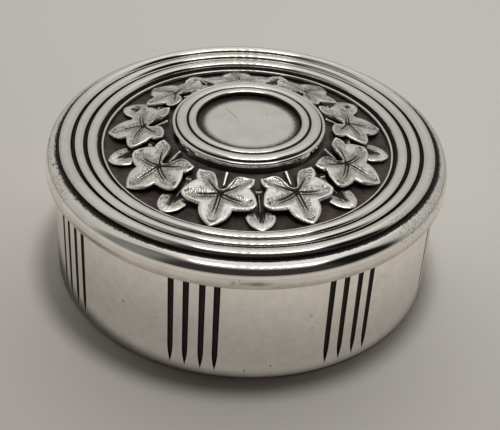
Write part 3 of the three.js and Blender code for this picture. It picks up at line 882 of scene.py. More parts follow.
@dataclass
class LidShell:
    """The lid's turned shell: the hoop, the reeded border and the dark ground. Sizes in mm."""

    hoop_radius: float = 37.5
    hoop_thickness: float = 0.9
    hoop_bottom: float = 21.95
    hoop_top: float = 24.095
    hoop_inner: float = 35.1
    edge_ease: float = 0.25
    rim_width: float = 2.3
    rim_height: float = 2.25
    rim_foot: float = 24.1
    groove_levels: tuple[float, ...] = (26.2, 26.3, 26.05, 25.95)
    groove_width: float = 0.4
    groove_radius: float = 35.2
    reed_widths: tuple[float, ...] = (2.8, 2.3, 2.5)
    reed_crests: tuple[float, ...] = (27.5, 27.25, 27.0)
    reed_points: int = 18
    cove_depth: float = 0.3
    cove_outer: float = 27.6
    fillet_width: float = 0.5
    fillet_ease: float = 0.22
    border_bottom: float = 25.1
    field_radius: float = 26.75
    ground_edge: float = 25.0
    ground_rise: float = 3.9
    ground_power: float = 2.2
    ground_thickness: float = 0.8
    ground_radius: float = 33.7
    seat_radius: float = 14.6
    columns: int = 540
    ground_rows: int = 40
    ground_columns: int = 240
    seat_rows: int = 6
    corner_points: int = 8
    hoop_rows: int = 14
    hoop_skin: Pair = (0.3, 0.1)
    seam_half_width: float = 0.09
    seam_depth: float = 0.03
    seam_columns: int = 41
    seam_reach: float = 0.02
    seam_clear: float = 0.021
    seam_mark: float = 0.45
    seam_mark_place: float = 0.2
    seam_mark_half_width: float = 0.16
    seam_mark_heights: Pair = (22.2, 23.3)
    seam_dark_patch: DarkPatch = DarkPatch(0.5, -1.2, 1.1, 23.15, 0.6)
    right_dark_patch: DarkPatch = DarkPatch(0.66, 4.5, 6.0, 23.15, 0.6)
    right_start: float = 0.1
    left_dark_patch: DarkPatch = DarkPatch(0.66, -42.0, 17.0, 22.6, 0.6)
    hoop_lower_shade: float = 0.4
    hoop_lower_shade_depths: Pair = (0.1, 1.7)
    hidden_patina: float = 0.6
    rim_points: int = 44
    cove_points: int = 12
    fillet_points: int = 8
    fillet_clean: float = 0.8
    under_clean: float = 0.6
    left_front_sine: float = -0.7
    left_front_width: float = 0.3
    left_front_cosines: Pair = (0.1, 0.5)
    fringe: float = 0.15
    fringe_at_front: float = 0.1
    fringe_at_sides: float = 0.25
    fringe_at_right: float = 0.1
    fringe_at_left_front: float = 0.22
    fringe_fade: float = 0.5
    fade_at_sides: float = 1.1
    fade_at_left_front: float = 0.6
    reed_fill: float = 0.4
    reed_fill_and_shade_at_front: float = 0.1
    reed_fade: float = 0.2
    rim_margins: Pair = (0.1, 0.02)
    border_finish: PolishedSilver = PolishedSilver(
        "border_silver", brown=(0.04, 0.029, 0.025, 1.0), fringe=Pattern(0.4, 5.0, 0.65), raggedness=0.8,
        edge_softness=0.16, polish=0.05, haze=0.09, wear_depth=0.0004, marks=(
            Spot((-36.74, -2.64, 25.69), 0.4, 0.9), Spot((-34.53, -11.15, 26.08), 0.4, 0.9),
            Spot((29.0, -22.85, 25.4), 6.0, 0.7, 0.4), Spot((33.2, -17.0, 25.3), 5.0, 0.7, 0.4),
            Spot((36.0, -9.8, 25.4), 5.5, 0.6, 0.4),
            Spot((-36.6, -6.5, 25.4), 6.5, 0.5, 0.5), Spot((-32.5, -17.5, 25.4), 6.0, 0.45, 0.5),
        ))
    hoop_finish: PolishedSilver = PolishedSilver(
        "hoop_silver", bright=(0.8, 0.77, 0.725, 1.0), dull=(0.7, 0.67, 0.62, 1.0),
        brown=(0.28, 0.247, 0.22, 1.0), dark=(0.19, 0.166, 0.143, 1.0),
        fringe=Pattern(1.4, 5.0, 0.65), raggedness=0.3, edge_softness=0.42)
    ground_finish: OxidisedSilver = OxidisedSilver("ground_dark_silver")

    def build(self) -> list[Piece]:
        """The three pieces of the shell, dressed."""
        border = self.border_finish.material()
        hoop = self.hoop_finish.material()
        ground = self.ground_finish.material()
        return [
            Piece("skirt_band", self.hoop(), "lid_skirt", Body.LID, Slot.POLISHED, hoop),
            Piece("border_reeded", self.border(), "lid_border", Body.LID, Slot.POLISHED, border),
            Piece("ground_dark", self.ground(), "lid_panel", Body.LID, Slot.OXIDISED, ground),
        ]

    def ground_height(self, radius: Array | float) -> Array:
        """The ground's height: its edge, plus its rise times a power of the share of the way inwards."""
        share = np.clip((self.field_radius - radius) / (self.field_radius - self.seat_radius), 0.0, 1.0)
        return self.ground_edge + self.ground_rise * share ** self.ground_power

    def hoop(self) -> Shell:
        """The hoop: an eased angle section carried round the axis, with a fine butt seam at the front.

        Its columns crowd together at the seam, where the face is cut in by a narrow bell curve. It is
        marked beside the seam, darker in soft patches beside the seam, at the right front and at the
        left, and darker towards its lower edge by painted shade.
        """
        ease = self.edge_ease
        thin = 0.08
        tiny = 0.01
        shelf = self.hoop_bottom + self.hoop_thickness
        inner = self.hoop_radius - self.hoop_thickness
        corner_points = self.corner_points
        corners = eased(np.array((
            (self.hoop_inner, self.hoop_bottom, thin),
            (self.hoop_radius, self.hoop_bottom, ease),
            (self.hoop_radius, self.hoop_top, tiny),
            (inner, self.hoop_top, thin),
            (inner, shelf, thin),
            (self.hoop_inner, shelf, thin),
        )), corner_points)
        face_start = 2 * (corner_points + 2)
        face_heights = np.linspace(self.hoop_bottom + 2 * ease, self.hoop_top - thin, self.hoop_rows)
        face = np.column_stack((np.full_like(face_heights, self.hoop_radius), face_heights))
        profile = np.concatenate((corners[:face_start], face, corners[face_start:]))
        seam = np.linspace(-1.0, 1.0, self.seam_columns) * self.seam_reach
        even = round_columns(self.columns)
        azimuth = np.sort(np.concatenate((even[np.abs(even) > self.seam_clear], seam)))
        skin = (self.hoop_radius - depth for depth in self.hoop_skin)
        outside = smooth_step(profile[:, :1], *skin)
        offset = azimuth[None, :] * self.hoop_radius
        depth = self.seam_depth * bell(offset, self.seam_half_width) * outside
        degrees = np.degrees(azimuth)[None, :]
        height = profile[:, 1:]
        mark = (self.seam_mark * bell(offset - self.seam_mark_place, self.seam_mark_half_width)
                * smooth_step(height, *self.seam_mark_heights))
        beside = self.seam_dark_patch.patina(degrees, height)
        right = self.right_dark_patch.patina(degrees, height) * (offset > self.right_start)
        left = self.left_dark_patch.patina(degrees, height)
        # painted shade: the hoop darkens towards its lower edge
        height_ramp = self.hoop_lower_shade * smooth_step(self.hoop_top - height, *self.hoop_lower_shade_depths)
        patina = np.maximum.reduce(np.broadcast_arrays(mark, beside, right, left, height_ramp)) * outside
        below_top = (height < self.hoop_top - thin) * np.ones_like(degrees)
        hidden = self.hidden_patina * (1.0 - outside) * below_top
        return Shell.from_grid(turned(profile, azimuth, depth), Closing.RING,
                               **{PATINA: np.maximum(patina, hidden)})

    def _border_profile(self) -> tuple[Array, Array]:
        """The border's closed section, and how clean each point is.

        The rim is a quarter of an ellipse, each reed two quarters and the cove half an ellipse turned
        down. A point is 0 in the grooves and 1 on the crests, by the sine of its ellipse's angle.

        Returns:
            Radius and height of each point, and its clean share.
        """
        tiny = 0.01
        groove_half = self.groove_width / 2
        inner = self.hoop_radius - self.hoop_thickness
        rim_end = math.degrees(math.acos(groove_half / self.rim_width))
        rim = ellipse_arc((self.groove_radius, self.rim_foot), (self.rim_width, self.rim_height),
                          0.0, rim_end, self.rim_points)
        corner = np.array(((self.hoop_radius - tiny, self.rim_foot), (self.hoop_radius, self.rim_foot),
                           (self.hoop_radius, self.rim_foot + tiny)))
        floor = np.array(((self.groove_radius + groove_half, self.groove_levels[0]),))
        parts = [corner, rim[1:], floor]
        clean = [np.ones(len(corner)), np.ones(len(rim) - 1), np.zeros(1)]
        levels = zip(self.groove_levels, self.reed_crests, self.groove_levels[1:])
        points = self.reed_points
        quarter = np.sin(np.linspace(0.0, math.pi / 2, points))
        outer = self.groove_radius
        for width, (outer_foot, crest, inner_foot) in zip(self.reed_widths, levels):
            half = (width - self.groove_width) / 2
            middle = outer - width / 2
            rise = ellipse_arc((middle, outer_foot), (half, crest - outer_foot), 0.0, 90.0, points)
            fall = ellipse_arc((middle, inner_foot), (half, crest - inner_foot), 90.0, 180.0, points)
            parts += [rise, fall[1:]]
            clean += [quarter, quarter[:-1][::-1]]
            outer -= width
        cove_half = (self.cove_outer - self.field_radius - self.fillet_width) / 2
        fillet_top = self.groove_levels[-1]
        cove = ellipse_arc((self.cove_outer - cove_half, fillet_top), (cove_half, self.cove_depth),
                           0.0, -180.0, self.cove_points)
        ease = self.fillet_ease
        fillet = ellipse_arc((self.field_radius + ease, fillet_top - ease), (ease, ease),
                             90.0, 180.0, self.fillet_points)
        foot = np.array(((self.field_radius, self.border_bottom), (inner, self.border_bottom),
                         (inner, self.rim_foot)))
        parts += [cove, fillet, foot]
        foot_clean = np.array((0.0, self.under_clean, self.under_clean))
        clean += [np.zeros(len(cove)), np.full(len(fillet), self.fillet_clean), foot_clean]
        return np.concatenate(parts), np.concatenate(clean)

    def border(self) -> Shell:
        """The border: rim, reeds, cove and fillet as one closed section carried round the axis.

        Patina fills the grooves up to a share of the reeds' height, and creeps out over the rim,
        furthest at the two sides and at the left front. The share is larger towards the front, where it
        adds painted shade on the reeds' front faces over the real patina.
        """
        profile, clean = self._border_profile()
        radius = profile[:, :1]
        height = profile[:, 1:]
        azimuth = round_columns(self.columns)
        sine = np.sin(azimuth)[None, :]
        cosine = np.cos(azimuth)[None, :]
        side = sine ** 2
        left_front = (bell(sine - self.left_front_sine, self.left_front_width)
                      * smooth_step(cosine, *self.left_front_cosines))
        groove_edge = self.groove_radius + self.groove_width / 2
        fringe = (self.fringe + self.fringe_at_front * cosine
                  + (self.fringe_at_sides + self.fringe_at_right * sine) * side
                  + self.fringe_at_left_front * left_front)
        fade = self.fringe_fade + self.fade_at_sides * side + self.fade_at_left_front * left_front
        rim_patina = STAIN_EDGE + (groove_edge + fringe - radius) / fade
        # painted shade: the reeds' dark share grows towards the front, over the real groove patina
        reed_limit = self.reed_fill + self.reed_fill_and_shade_at_front * cosine
        reed_patina_and_shade = STAIN_EDGE + (reed_limit - clean[:, None]) / self.reed_fade
        inward, upward = self.rim_margins
        on_rim = (radius > groove_edge - inward) & (height > self.rim_foot + upward)
        patina = np.clip(np.where(on_rim, rim_patina, reed_patina_and_shade), 0.0, 1.0)
        return Shell.from_grid(turned(profile, azimuth), Closing.RING, **{PATINA: patina})

    def ground(self) -> Shell:
        """The dark ground: its swept height and its underside carried round the axis, pole to pole."""
        inward = np.linspace(self.field_radius, self.seat_radius, self.ground_rows)
        upper = np.column_stack((inward, self.ground_height(inward)))
        lower = upper[::-1] - np.array((0.0, self.ground_thickness))
        seat = np.linspace(self.seat_radius, 0.0, self.seat_rows)[1:]
        top = np.column_stack((seat, np.full_like(seat, self.ground_edge + self.ground_rise)))
        bottom = top[::-1] - np.array((0.0, self.ground_thickness))
        lap = np.array(((self.ground_radius, self.ground_edge - self.ground_thickness),
                        (self.ground_radius, self.ground_edge)))
        profile = np.concatenate((bottom, lower, lap, upper, top))
        return Shell.from_grid(turned(profile, round_columns(self.ground_columns)), Closing.POLES)


@dataclass
class Boss:
    """The turned ring in the middle of the lid and the plain disc inside it. Sizes in mm."""

    radius: float = 14.4
    bottom: float = 29.0
    top: float = 31.4
    shoulder: float = 0.25
    lip_width: float = 0.75
    band_width: float = 2.1
    bead_width: float = 1.7
    groove_depth: float = 0.7
    disc_gap: float = 0.1
    disc_edge: float = 30.45
    disc_crown: float = 0.1
    columns: int = 360
    flank_points: int = 12
    flank_power: float = 0.7
    lip_height_share: float = 0.75
    lip_points: int = 16
    band_points: int = 26
    bead_points: int = 22
    hole_ease: float = 0.1
    lip_stain: float = 0.16
    lip_stain_depth: float = 0.2
    bead_stain: float = 0.3
    bore_stain: float = 0.22
    worn_depth: float = 0.6
    front_shade_cosines: Pair = (0.45, 0.95)
    flank_patina: float = 0.15
    front_flank_shade: float = 0.75
    flank_polish: float = 0.7
    flank_margin: float = 0.05
    foot_patina: float = 0.9
    foot_height: float = 0.5
    disc_rim_share: float = 0.75
    disc_rim_rows: int = 28
    disc_rows: int = 16
    disc_ease: float = 0.1
    stain_width: float = 1.5
    stain_and_shade_at_back: float = 0.25
    stain_and_shade_at_left: float = 0.15
    stain_at_ends: float = 0.17
    stain_fade: float = 2.2
    finish: PolishedSilver = PolishedSilver(
        "boss_silver", dark=(0.035, 0.028, 0.024, 1.0), raggedness=0.5, edge_softness=0.2,
        polish=0.06, haze=0.12, wear_depth=0.002)
    disc_finish: PolishedSilver = PolishedSilver(
        "disc_silver", fringe=Pattern(0.28, 5.0, 0.65), raggedness=0.9, edge_softness=0.28, polish=0.2,
        haze=0.3, pit_share=0.02,
        marks=(Scratch(-3.2, 2.6, 2.6, 0.1, 54.0), Spot((3.3, 3.0, 30.5), 0.3, 0.5)))

    def build(self) -> list[Piece]:
        """The ring and the disc, dressed."""
        return [
            Piece("boss_turned", self.ring(), "boss_ring", Body.LID, Slot.POLISHED,
                  self.finish.material()),
            Piece("cartouche_disc", self.disc(), "cartouche_plate", Body.LID, Slot.POLISHED,
                  self.disc_finish.material()),
        ]

    def bore(self) -> float:
        """Radius of the hole in the ring."""
        return self.radius - self.shoulder - self.lip_width - self.band_width - self.bead_width

    def ring(self) -> Shell:
        """The ring: a steep flank, a rounded lip, a broad band and a bead as one closed section.

        The band and the bead are half ellipses over the grooves' level. Patina lies in the grooves and
        on the flank below its upper edge, which wear keeps bright, and painted shade darkens the flank
        most at the front.
        """
        floor = self.top - self.groove_depth
        lip_outer = self.radius - self.shoulder
        band_outer = lip_outer - self.lip_width
        bead_outer = band_outer - self.band_width
        bore = self.bore()
        flank_top = floor - self.groove_depth / 2
        flank_share = np.linspace(0.0, 1.0, self.flank_points)
        flank = np.column_stack((self.radius - self.shoulder * flank_share ** self.flank_power,
                                 self.bottom + (flank_top - self.bottom) * flank_share))
        lip_height = self.groove_depth * self.lip_height_share
        lip = ellipse_arc((lip_outer - self.lip_width / 2, flank_top),
                          (self.lip_width / 2, lip_height), 0.0, 180.0, self.lip_points)[1:]
        band = ellipse_arc((band_outer - self.band_width / 2, floor),
                           (self.band_width / 2, self.groove_depth), 0.0, 180.0, self.band_points)
        bead = ellipse_arc((bead_outer - self.bead_width / 2, floor),
                           (self.bead_width / 2, self.groove_depth), 0.0, 180.0, self.bead_points)[1:]
        hole = np.array(((bore, self.bottom + self.hole_ease), (bore + self.hole_ease, self.bottom)))
        profile = np.concatenate((flank, lip, band, bead, hole))
        radius = profile[:, :1]
        height = profile[:, 1:]
        azimuth = round_columns(self.columns)[None, :]
        lip_foot = flank_top - self.lip_stain_depth
        at_lip = bell(radius - band_outer, self.lip_stain) * smooth_step(height, lip_foot, flank_top)
        at_bead = bell(radius - bead_outer, self.bead_stain) * smooth_step(height, flank_top, floor)
        at_bore = bell(radius - bore, self.bore_stain) * (height > self.bottom)
        grooves = np.maximum.reduce((at_lip, at_bead, at_bore))
        # the flank's upper edge, which wear keeps bright
        height_ramp = smooth_step(height, flank_top - self.worn_depth, flank_top)
        # painted shade: the flank darkens towards the front, over its real patina
        front = smooth_step(np.cos(azimuth), *self.front_shade_cosines)
        on_flank = self.flank_patina + self.front_flank_shade * front - self.flank_polish * height_ramp
        on_flank = on_flank * (radius > lip_outer - self.flank_margin)
        above_foot = smooth_step(height, self.bottom, self.bottom + self.foot_height)
        foot = self.foot_patina * (1.0 - above_foot) * (radius > lip_outer)
        patina = np.clip(np.maximum(np.maximum(grooves, foot), on_flank), 0.0, 1.0)
        return Shell.from_grid(turned(profile, azimuth), Closing.RING, **{PATINA: patina})

    def disc(self) -> Shell:
        """The disc: a face crowned by a parabola, carried round the axis from pole to pole.

        Patina rings its edge, and painted shade beside the ring's bead widens it at the back and the
        left.
        The ring's width is a mean plus waves of one and two turns: it is widest at the back and narrowest
        at the right.
        """
        radius = self.bore() - self.disc_gap
        rim_shares = np.linspace(1.0, self.disc_rim_share, self.disc_rim_rows)
        inner_shares = np.linspace(self.disc_rim_share, 0.0, self.disc_rows)[1:]
        inward = radius * np.concatenate((rim_shares, inner_shares))
        face = np.column_stack((inward, self.disc_edge + self.disc_crown * (1 - (inward / radius) ** 2)))
        ease = self.disc_ease
        base = np.array(((0.0, self.bottom), (radius - ease, self.bottom), (radius, self.bottom + ease)))
        profile = np.concatenate((base, face))
        azimuth = round_columns(self.columns)[None, :]
        # patina ring, widened at the back and the left by painted shade
        width = (self.stain_width - self.stain_and_shade_at_back * np.cos(azimuth)
                 - self.stain_and_shade_at_left * np.sin(azimuth) + self.stain_at_ends * np.cos(2 * azimuth))
        patina = np.clip(STAIN_EDGE + (profile[:, :1] - radius + width) / self.stain_fade, 0.0, 1.0)
        return Shell.from_grid(turned(profile, azimuth), Closing.POLES, **{PATINA: patina})


def along_path(place: Array, path: Array) -> tuple[Array, Array]:
    """Distance from each place to a path of straight steps, and the share of the way along it.

    The nearest point of a step is its start plus its run times the clipped share of the offset on it.

    Args:
        place: Places, with their two coordinates last.
        path: The path's points in order.

    Returns:
        The distance to the nearest step, and the share of the steps passed there.
    """
    run = np.diff(path, axis=0).astype(np.float32)
    offset = (place[..., None, :] - path[:-1]).astype(np.float32)
    share = np.clip((offset * run).sum(axis=-1) / (run * run).sum(axis=-1), 0.0, 1.0)
    gap = np.linalg.norm(offset - share[..., None] * run, axis=-1)
    nearest = gap.argmin(axis=-1)[..., None]
    passed = nearest + np.take_along_axis(share, nearest, axis=-1)
    return np.take_along_axis(gap, nearest, axis=-1)[..., 0], passed[..., 0] / len(run)


def bent(start: Array, bend: Array, end: Array, share: Array) -> Array:
    """Points (1-t)^2 start + 2t(1-t) bend + t^2 end of a curve, for a column of shares t."""
    return (1 - share) ** 2 * start + 2 * share * (1 - share) * bend + share ** 2 * end


def both_halves(right: Array, tip: Array) -> Array:
    """A closed outline from its right half: the left half mirrors it, and the tip lies between them."""
    return np.concatenate((right * np.array((-1.0, 1.0)), tip[None], right[:0:-1]))


@dataclass
class IvyWreath:
    """Nine ivy leaves with their stalks, and the small leaves between them. Sizes in mm."""

    shell: LidShell
    boss_radius: float
    count: int = 9
    first_azimuth: float = -12.2
    tip_radius: float = 26.3
    root_radius: float = 15.2
    side_gap: float = 1.1
    lift: float = 0.65
    crown: float = 0.34
    middle: Pair = (0.0, 0.55)
    notch: Pair = (0.0, 0.683)
    bends: tuple[Pair, ...] = (
        (0.13, 0.69), (0.34, 1.02), (1.0, 0.865), (0.98, 0.71), (0.86, 0.385), (0.37, 0.145))
    ends: tuple[Pair, ...] = (
        (0.22, 0.81), (1.0, 0.985), (0.8, 0.79), (0.99, 0.525), (0.385, 0.355), (0.0, 0.0))
    centre_radius: float = 20.6
    vein_root: Pair = (0.0, 1.05)
    veins: tuple[tuple[Pair, ...], ...] = (
        ((0.0, 1.1), (0.0, -1.6), (0.0, -4.5)),
        ((0.0, 1.0), (2.2, -0.1), (5.4, 0.0)),
        ((0.1, 1.2), (1.9, 2.3), (4.0, 4.75)))
    rib_shares: tuple[float, ...] = (1.0, 0.9, 0.0)
    rib_half_width: float = 0.14
    line_offset: float = 0.26
    line_width: float = 0.115
    vein_depth: float = 0.16
    rim_height: float = 0.28
    rim_inset: float = 0.2
    bevel: float = 0.12
    bevel_width: float = 0.13
    edge_points: int = 26
    blade_rows: int = 80
    blade_power: float = 1.45
    under_shares: tuple[float, ...] = (0.0, 0.28, 0.92, 0.995, 1.0)
    under_drops: tuple[float, ...] = (0.5, 0.42, 0.26)
    vein_points: int = 25
    line_fade: Pair = (0.5, 1.08)
    line_start: float = 1.4
    line_taper: float = 0.6
    star_radius: float = 0.55
    swell_width: float = 0.9
    edge_sink: float = 0.25
    edge_sink_width: float = 0.4
    rib_start: Pair = (0.4, 1.2)
    rib_polish: float = 0.85
    rim_polish: float = 0.8
    rim_span: Pair = (1.3, 2.0)
    vein_shade: float = 0.32
    vein_shade_width: float = 0.5
    hatch_place: float = 0.4
    hatch_width: float = 0.9
    hatch_fade: float = 0.45
    hatch_edge: Pair = (0.2, 0.6)
    stalk_radius: float = 0.32
    stalk_taper: float = 0.7
    stalk_shade: float = 0.75
    stalk_notch_gap: float = 1.0
    ornament_gap: float = 0.3
    small_length: float = 4.7
    small_width: float = 5.3
    small_tip_margin: float = 0.4
    small_thickness: float = 0.4
    small_shoulder: float = 0.72
    small_tip_share: float = 0.85
    small_fullness: float = 0.12
    small_edge_points: int = 36
    small_rows: int = 34
    small_power: float = 1.3
    small_under_shares: tuple[float, ...] = (0.0, 0.6, 0.97, 1.0)
    small_under_rises: tuple[float, ...] = (0.0, 0.0, 0.04, 0.12)
    small_rib_widths: Pair = (0.09, 0.1)
    small_side_rib: float = 0.7
    small_rib_splay: float = 0.9
    small_rib_height: float = 0.12
    small_rib_polish: float = 0.4
    small_inside: Pair = (0.25, 0.6)
    small_swell: float = 0.12
    small_swell_place: float = 0.9
    small_swell_width: float = 0.6
    small_bevel: float = 0.1
    small_bevel_width: float = 0.12
    small_hatch: float = 0.9
    small_hatch_reach: Pair = (0.2, 0.6)
    wedge_half_width: float = 0.3
    wedge_splay: float = 1.3
    wedge_start: float = 0.25
    wedge_fade: float = 1.3
    wedge_reach: Pair = (0.15, 0.4)
    small_stalk_radius: float = 0.22
    small_stalk_shade: float = 1.5
    small_stalk_rise: float = 0.15
    bud_radius: float = 0.65
    bud_half_height: float = 0.5
    bud_distance: float = 3.9
    bud_rows: int = 24
    bud_columns: int = 40
    crescent_place: float = 0.85
    crescent_width: float = 0.22
    crescent_bottom: float = -0.15
    crescent_cosines: Pair = (-0.2, 0.4)
    finish: SatinSilver = SatinSilver("leaf_silver")

    def build(self) -> list[Piece]:
        """All leaves and stalks of the wreath, dressed."""
        silver = self.finish.material()
        leaf = self.leaf()
        stalk = self.stalk()
        small = self.small_leaf()
        step = 360.0 / self.count
        pieces = []
        for number in range(1, self.count + 1):
            azimuth = self.first_azimuth + step * (number - 1)
            made = (
                (f"leaf_ivy_{number}", leaf, f"ivy_leaf_{number}", azimuth),
                (f"stalk_ivy_{number}", stalk, f"leaf_stalk_{number}", azimuth),
                (f"leaf_small_{number}", small, f"small_leaf_{number}", azimuth + step / 2),
            )
            for name, shell, node, place in made:
                turned_shell = shell.at_azimuth(place)
                pieces.append(Piece(name, turned_shell, node, Body.LID, Slot.SATIN, silver))
        return pieces

    def _place(self, shares: Array) -> Array:
        """Places on the leaf from shares of half its sector's width and of its length from the tip."""
        half_sector = math.pi / self.count
        radius = self.tip_radius + (self.root_radius - self.tip_radius) * shares[..., 1]
        half = radius * math.tan(half_sector) - self.side_gap / 2 / math.cos(half_sector)
        return np.stack((shares[..., 0] * half, -radius), axis=-1)

    def _plane(self, along: Array) -> Array:
        """Level of the blade's tilted plane at a distance along the front direction."""
        tip_level = self.shell.ground_height(self.tip_radius) + self.lift
        root_level = self.shell.ground_height(self.root_radius) + self.lift
        share = (self.tip_radius + along) / (self.tip_radius - self.root_radius)
        return tip_level + (root_level - tip_level) * share

    def _outline(self) -> Array:
        """The five-lobed outline from the notch round by the left: a bent curve for each side."""
        end = self._place(np.array(self.ends))
        bend = self._place(np.array(self.bends))
        start = np.vstack((self._place(np.array(self.notch))[None], end[:-1]))
        share = np.linspace(0.0, 1.0, self.edge_points, endpoint=False)[None, :, None]
        right = bent(start[:, None], bend[:, None], end[:, None], share).reshape(-1, 2)
        return both_halves(right, end[-1])

    def _veins(self, place: Array) -> tuple[Array, Array, Array]:
        """Each vein's distance from a place, the share of the way along it and the length of the way."""
        folded = np.stack((np.abs(place[..., 0]), place[..., 1]), axis=-1)
        share = np.linspace(0.0, 1.0, self.vein_points)[:, None]
        distances = []
        passed_shares = []
        lengths = []
        for vein in self.veins:
            path = bent(*np.array(vein), share)
            distance, passed = along_path(folded, path)
            distances.append(distance)
            passed_shares.append(passed)
            lengths.append(passed * np.linalg.norm(np.diff(path, axis=0), axis=1).sum())
        return np.stack(distances, axis=-1), np.stack(passed_shares, axis=-1), np.stack(lengths, axis=-1)

    def _relief(self, place: Array, edge_distance: Array,
                rimmed: Array) -> tuple[Array, dict[str, Array]]:
        """Height over the blade's plane, and the finish values.

        The blade swells between its veins by the crown times (1 - bell of the distance to the nearest
        vein). Two cut lines beside each vein leave a fine rib between them and die out along it. A
        narrow bevel drops the edge, and a raised rim follows the notch.

        Args:
            place: Sideways and inward place from the leaf's centre, in mm.
            edge_distance: Distance to the outline.
            rimmed: 1 where the outline has a raised rim.

        Returns:
            The height at each place, and the finish values by name.
        """
        distance, passed, length = self._veins(place)
        closest = distance.argmin(axis=-1)[..., None]
        nearest = np.take_along_axis(distance, closest, axis=-1)[..., 0]
        way = np.take_along_axis(passed, closest, axis=-1)[..., 0]
        run = np.take_along_axis(length, closest, axis=-1)[..., 0]
        fade = 1.0 - smooth_step(passed, *self.line_fade)
        offset = self.line_offset * np.array(self.rib_shares)
        width = self.line_width * (self.line_start - self.line_taper * passed)
        lines = (fade * bell(distance - offset, width)).max(axis=-1)
        ribs = (fade * self.rib_shares * bell(distance, self.rib_half_width)).max(axis=-1)
        root_distance = np.linalg.norm(place - np.array(self.vein_root), axis=-1)
        cut = np.maximum(lines, bell(root_distance, self.star_radius))
        rim = rimmed * bell(edge_distance - self.rim_inset, self.rim_inset)
        sunk_edge = 1.0 - self.edge_sink * bell(edge_distance, self.edge_sink_width)
        swell = self.crown * (1.0 - bell(nearest, self.swell_width)) * sunk_edge
        drop = -self.bevel * bell(edge_distance, self.bevel_width)
        height = swell + drop + self.rim_height * rim - self.vein_depth * cut
        lit_rib = ribs * smooth_step(root_distance, *self.rib_start)
        dark = cut + self.vein_shade * bell(nearest, self.vein_shade_width) * (1.0 - way)
        patina = np.clip(dark - self.rib_polish * lit_rib - self.rim_polish * rim, 0.0, 1.0)
        beside_vein = bell(nearest - self.hatch_place, self.hatch_width) * (1.0 - self.hatch_fade * way)
        stipple = beside_vein * smooth_step(edge_distance, *self.hatch_edge)
        return height, {PATINA: patina, STIPPLE: stipple, HATCH: run}

    @staticmethod
    def _rings(outline: Array, middle: Array, under: tuple[float, ...],
               rows: int, power: float) -> tuple[Array, Array]:
        """Rings of places that shrink from an outline to its middle: middle + share (outline - middle).

        They run out along the underside to the edge, and back in over the blade, where the share is 1
        minus a power of the way inwards.

        Args:
            outline: The blade's outline.
            middle: The place that the rings shrink to.
            under: Shares of the rings of the underside.
            rows: How many rings the blade has.
            power: Power of the way inwards. Above 1 it crowds the rings at the edge.

        Returns:
            Places by ring and column, and the distance of each to the outline.
        """
        inward = np.linspace(0.0, 1.0, rows)
        shares = np.concatenate((under, 1.0 - inward ** power))[:, None, None]
        flat = middle + shares * (outline - middle)
        return flat, along_path(flat, np.vstack((outline, outline[:1])))[0]

    def leaf(self) -> Shell:
        """One large leaf at the front: a pad on the ground, an underside and a carved blade."""
        outline = self._outline()
        middle = self._place(np.array(self.middle))
        flat, edge_distance = self._rings(outline, middle, self.under_shares, self.blade_rows,
                                          self.blade_power)
        place = np.stack((flat[..., 0], self.centre_radius + flat[..., 1]), axis=-1)
        columns = np.arange(len(outline))
        from_notch = np.minimum(columns, len(outline) - columns) / self.edge_points
        rimmed = 1.0 - smooth_step(from_notch, *self.rim_span)
        relief, values = self._relief(place, edge_distance, rimmed)
        level = self._plane(flat[..., 1])
        height = level + relief
        under = len(self.under_shares)
        pad = under - len(self.under_drops)
        height[:pad] = self.shell.ground_height(np.linalg.norm(flat[:pad], axis=-1)) + self.ornament_gap
        height[pad:under] = level[pad:under] - np.array(self.under_drops)[:, None]
        # painted shadow: the pad and the underside below the blade's edge are dark, the lowest edge ring
        # half dark
        values[PATINA][:under - 1] = 1.0
        values[PATINA][under - 1] = STAIN_EDGE
        grid = np.concatenate((flat, height[..., None]), axis=-1)
        return Shell.from_grid(grid, Closing.POLES, **values)

    @staticmethod
    def _rod(path: Array, radius: Array, shade: float) -> Shell:
        """A round rod along a path in the upright plane through the front, closed at both ends.

        Each ring is the path's point plus the radius times (sideways cosine + upright sine).

        Args:
            path: Places along the rod.
            radius: The rod's radius at each place.
            shade: How far up the rod its patina reaches.

        Returns:
            The closed rod.
        """
        sides = 14
        angle = np.linspace(0.0, FULL_TURN, sides, endpoint=False)[None, :, None]
        run = np.gradient(path, axis=0)
        run /= np.linalg.norm(run, axis=1, keepdims=True)
        sideways = np.array((1.0, 0.0, 0.0))
        upright = np.cross(sideways, run)[:, None, :]
        spokes = np.cos(angle) * upright + np.sin(angle) * sideways
        ring = path[:, None, :] + radius[:, None, None] * spokes
        first = np.repeat(path[:1, None, :], sides, axis=1)
        last = np.repeat(path[-1:, None, :], sides, axis=1)
        grid = np.concatenate((first, ring, last))
        end = np.ones((1, sides))
        low = np.concatenate((end, np.clip(shade - upright_share(ring, path), 0.0, 1.0), end))
        return Shell.from_grid(grid, Closing.POLES, **{PATINA: low, STIPPLE: np.zeros_like(low)})

    @staticmethod
    def _path(start: Pair, bend: Pair, end: Pair) -> Array:
        """A bent curve in the upright plane through the front, from radii and heights."""
        points = 16
        share = np.linspace(0.0, 1.0, points)[:, None]
        flat = bent(np.array(start), np.array(bend), np.array(end), share)
        return np.column_stack((np.zeros(len(flat)), -flat[:, 0], flat[:, 1]))

    def stalk(self) -> Shell:
        """The stalk of a large leaf, from the boss down along the ground towards the leaf's notch."""
        clear = self.ornament_gap + self.stalk_radius
        start_radius = self.boss_radius + clear
        end_radius = -self._place(np.array(self.notch))[1] - self.stalk_notch_gap - self.stalk_radius
        bend_radius = (start_radius + end_radius) / 2
        start_level = self.shell.ground_height(start_radius) + clear
        end_level = self.shell.ground_height(end_radius) + clear
        bend_level = (start_level + end_level) / 2
        path = self._path((start_radius, start_level), (bend_radius, bend_level), (end_radius, end_level))
        radius = np.linspace(1.0, self.stalk_taper, len(path)) * self.stalk_radius
        return self._rod(path, radius, self.stalk_shade)

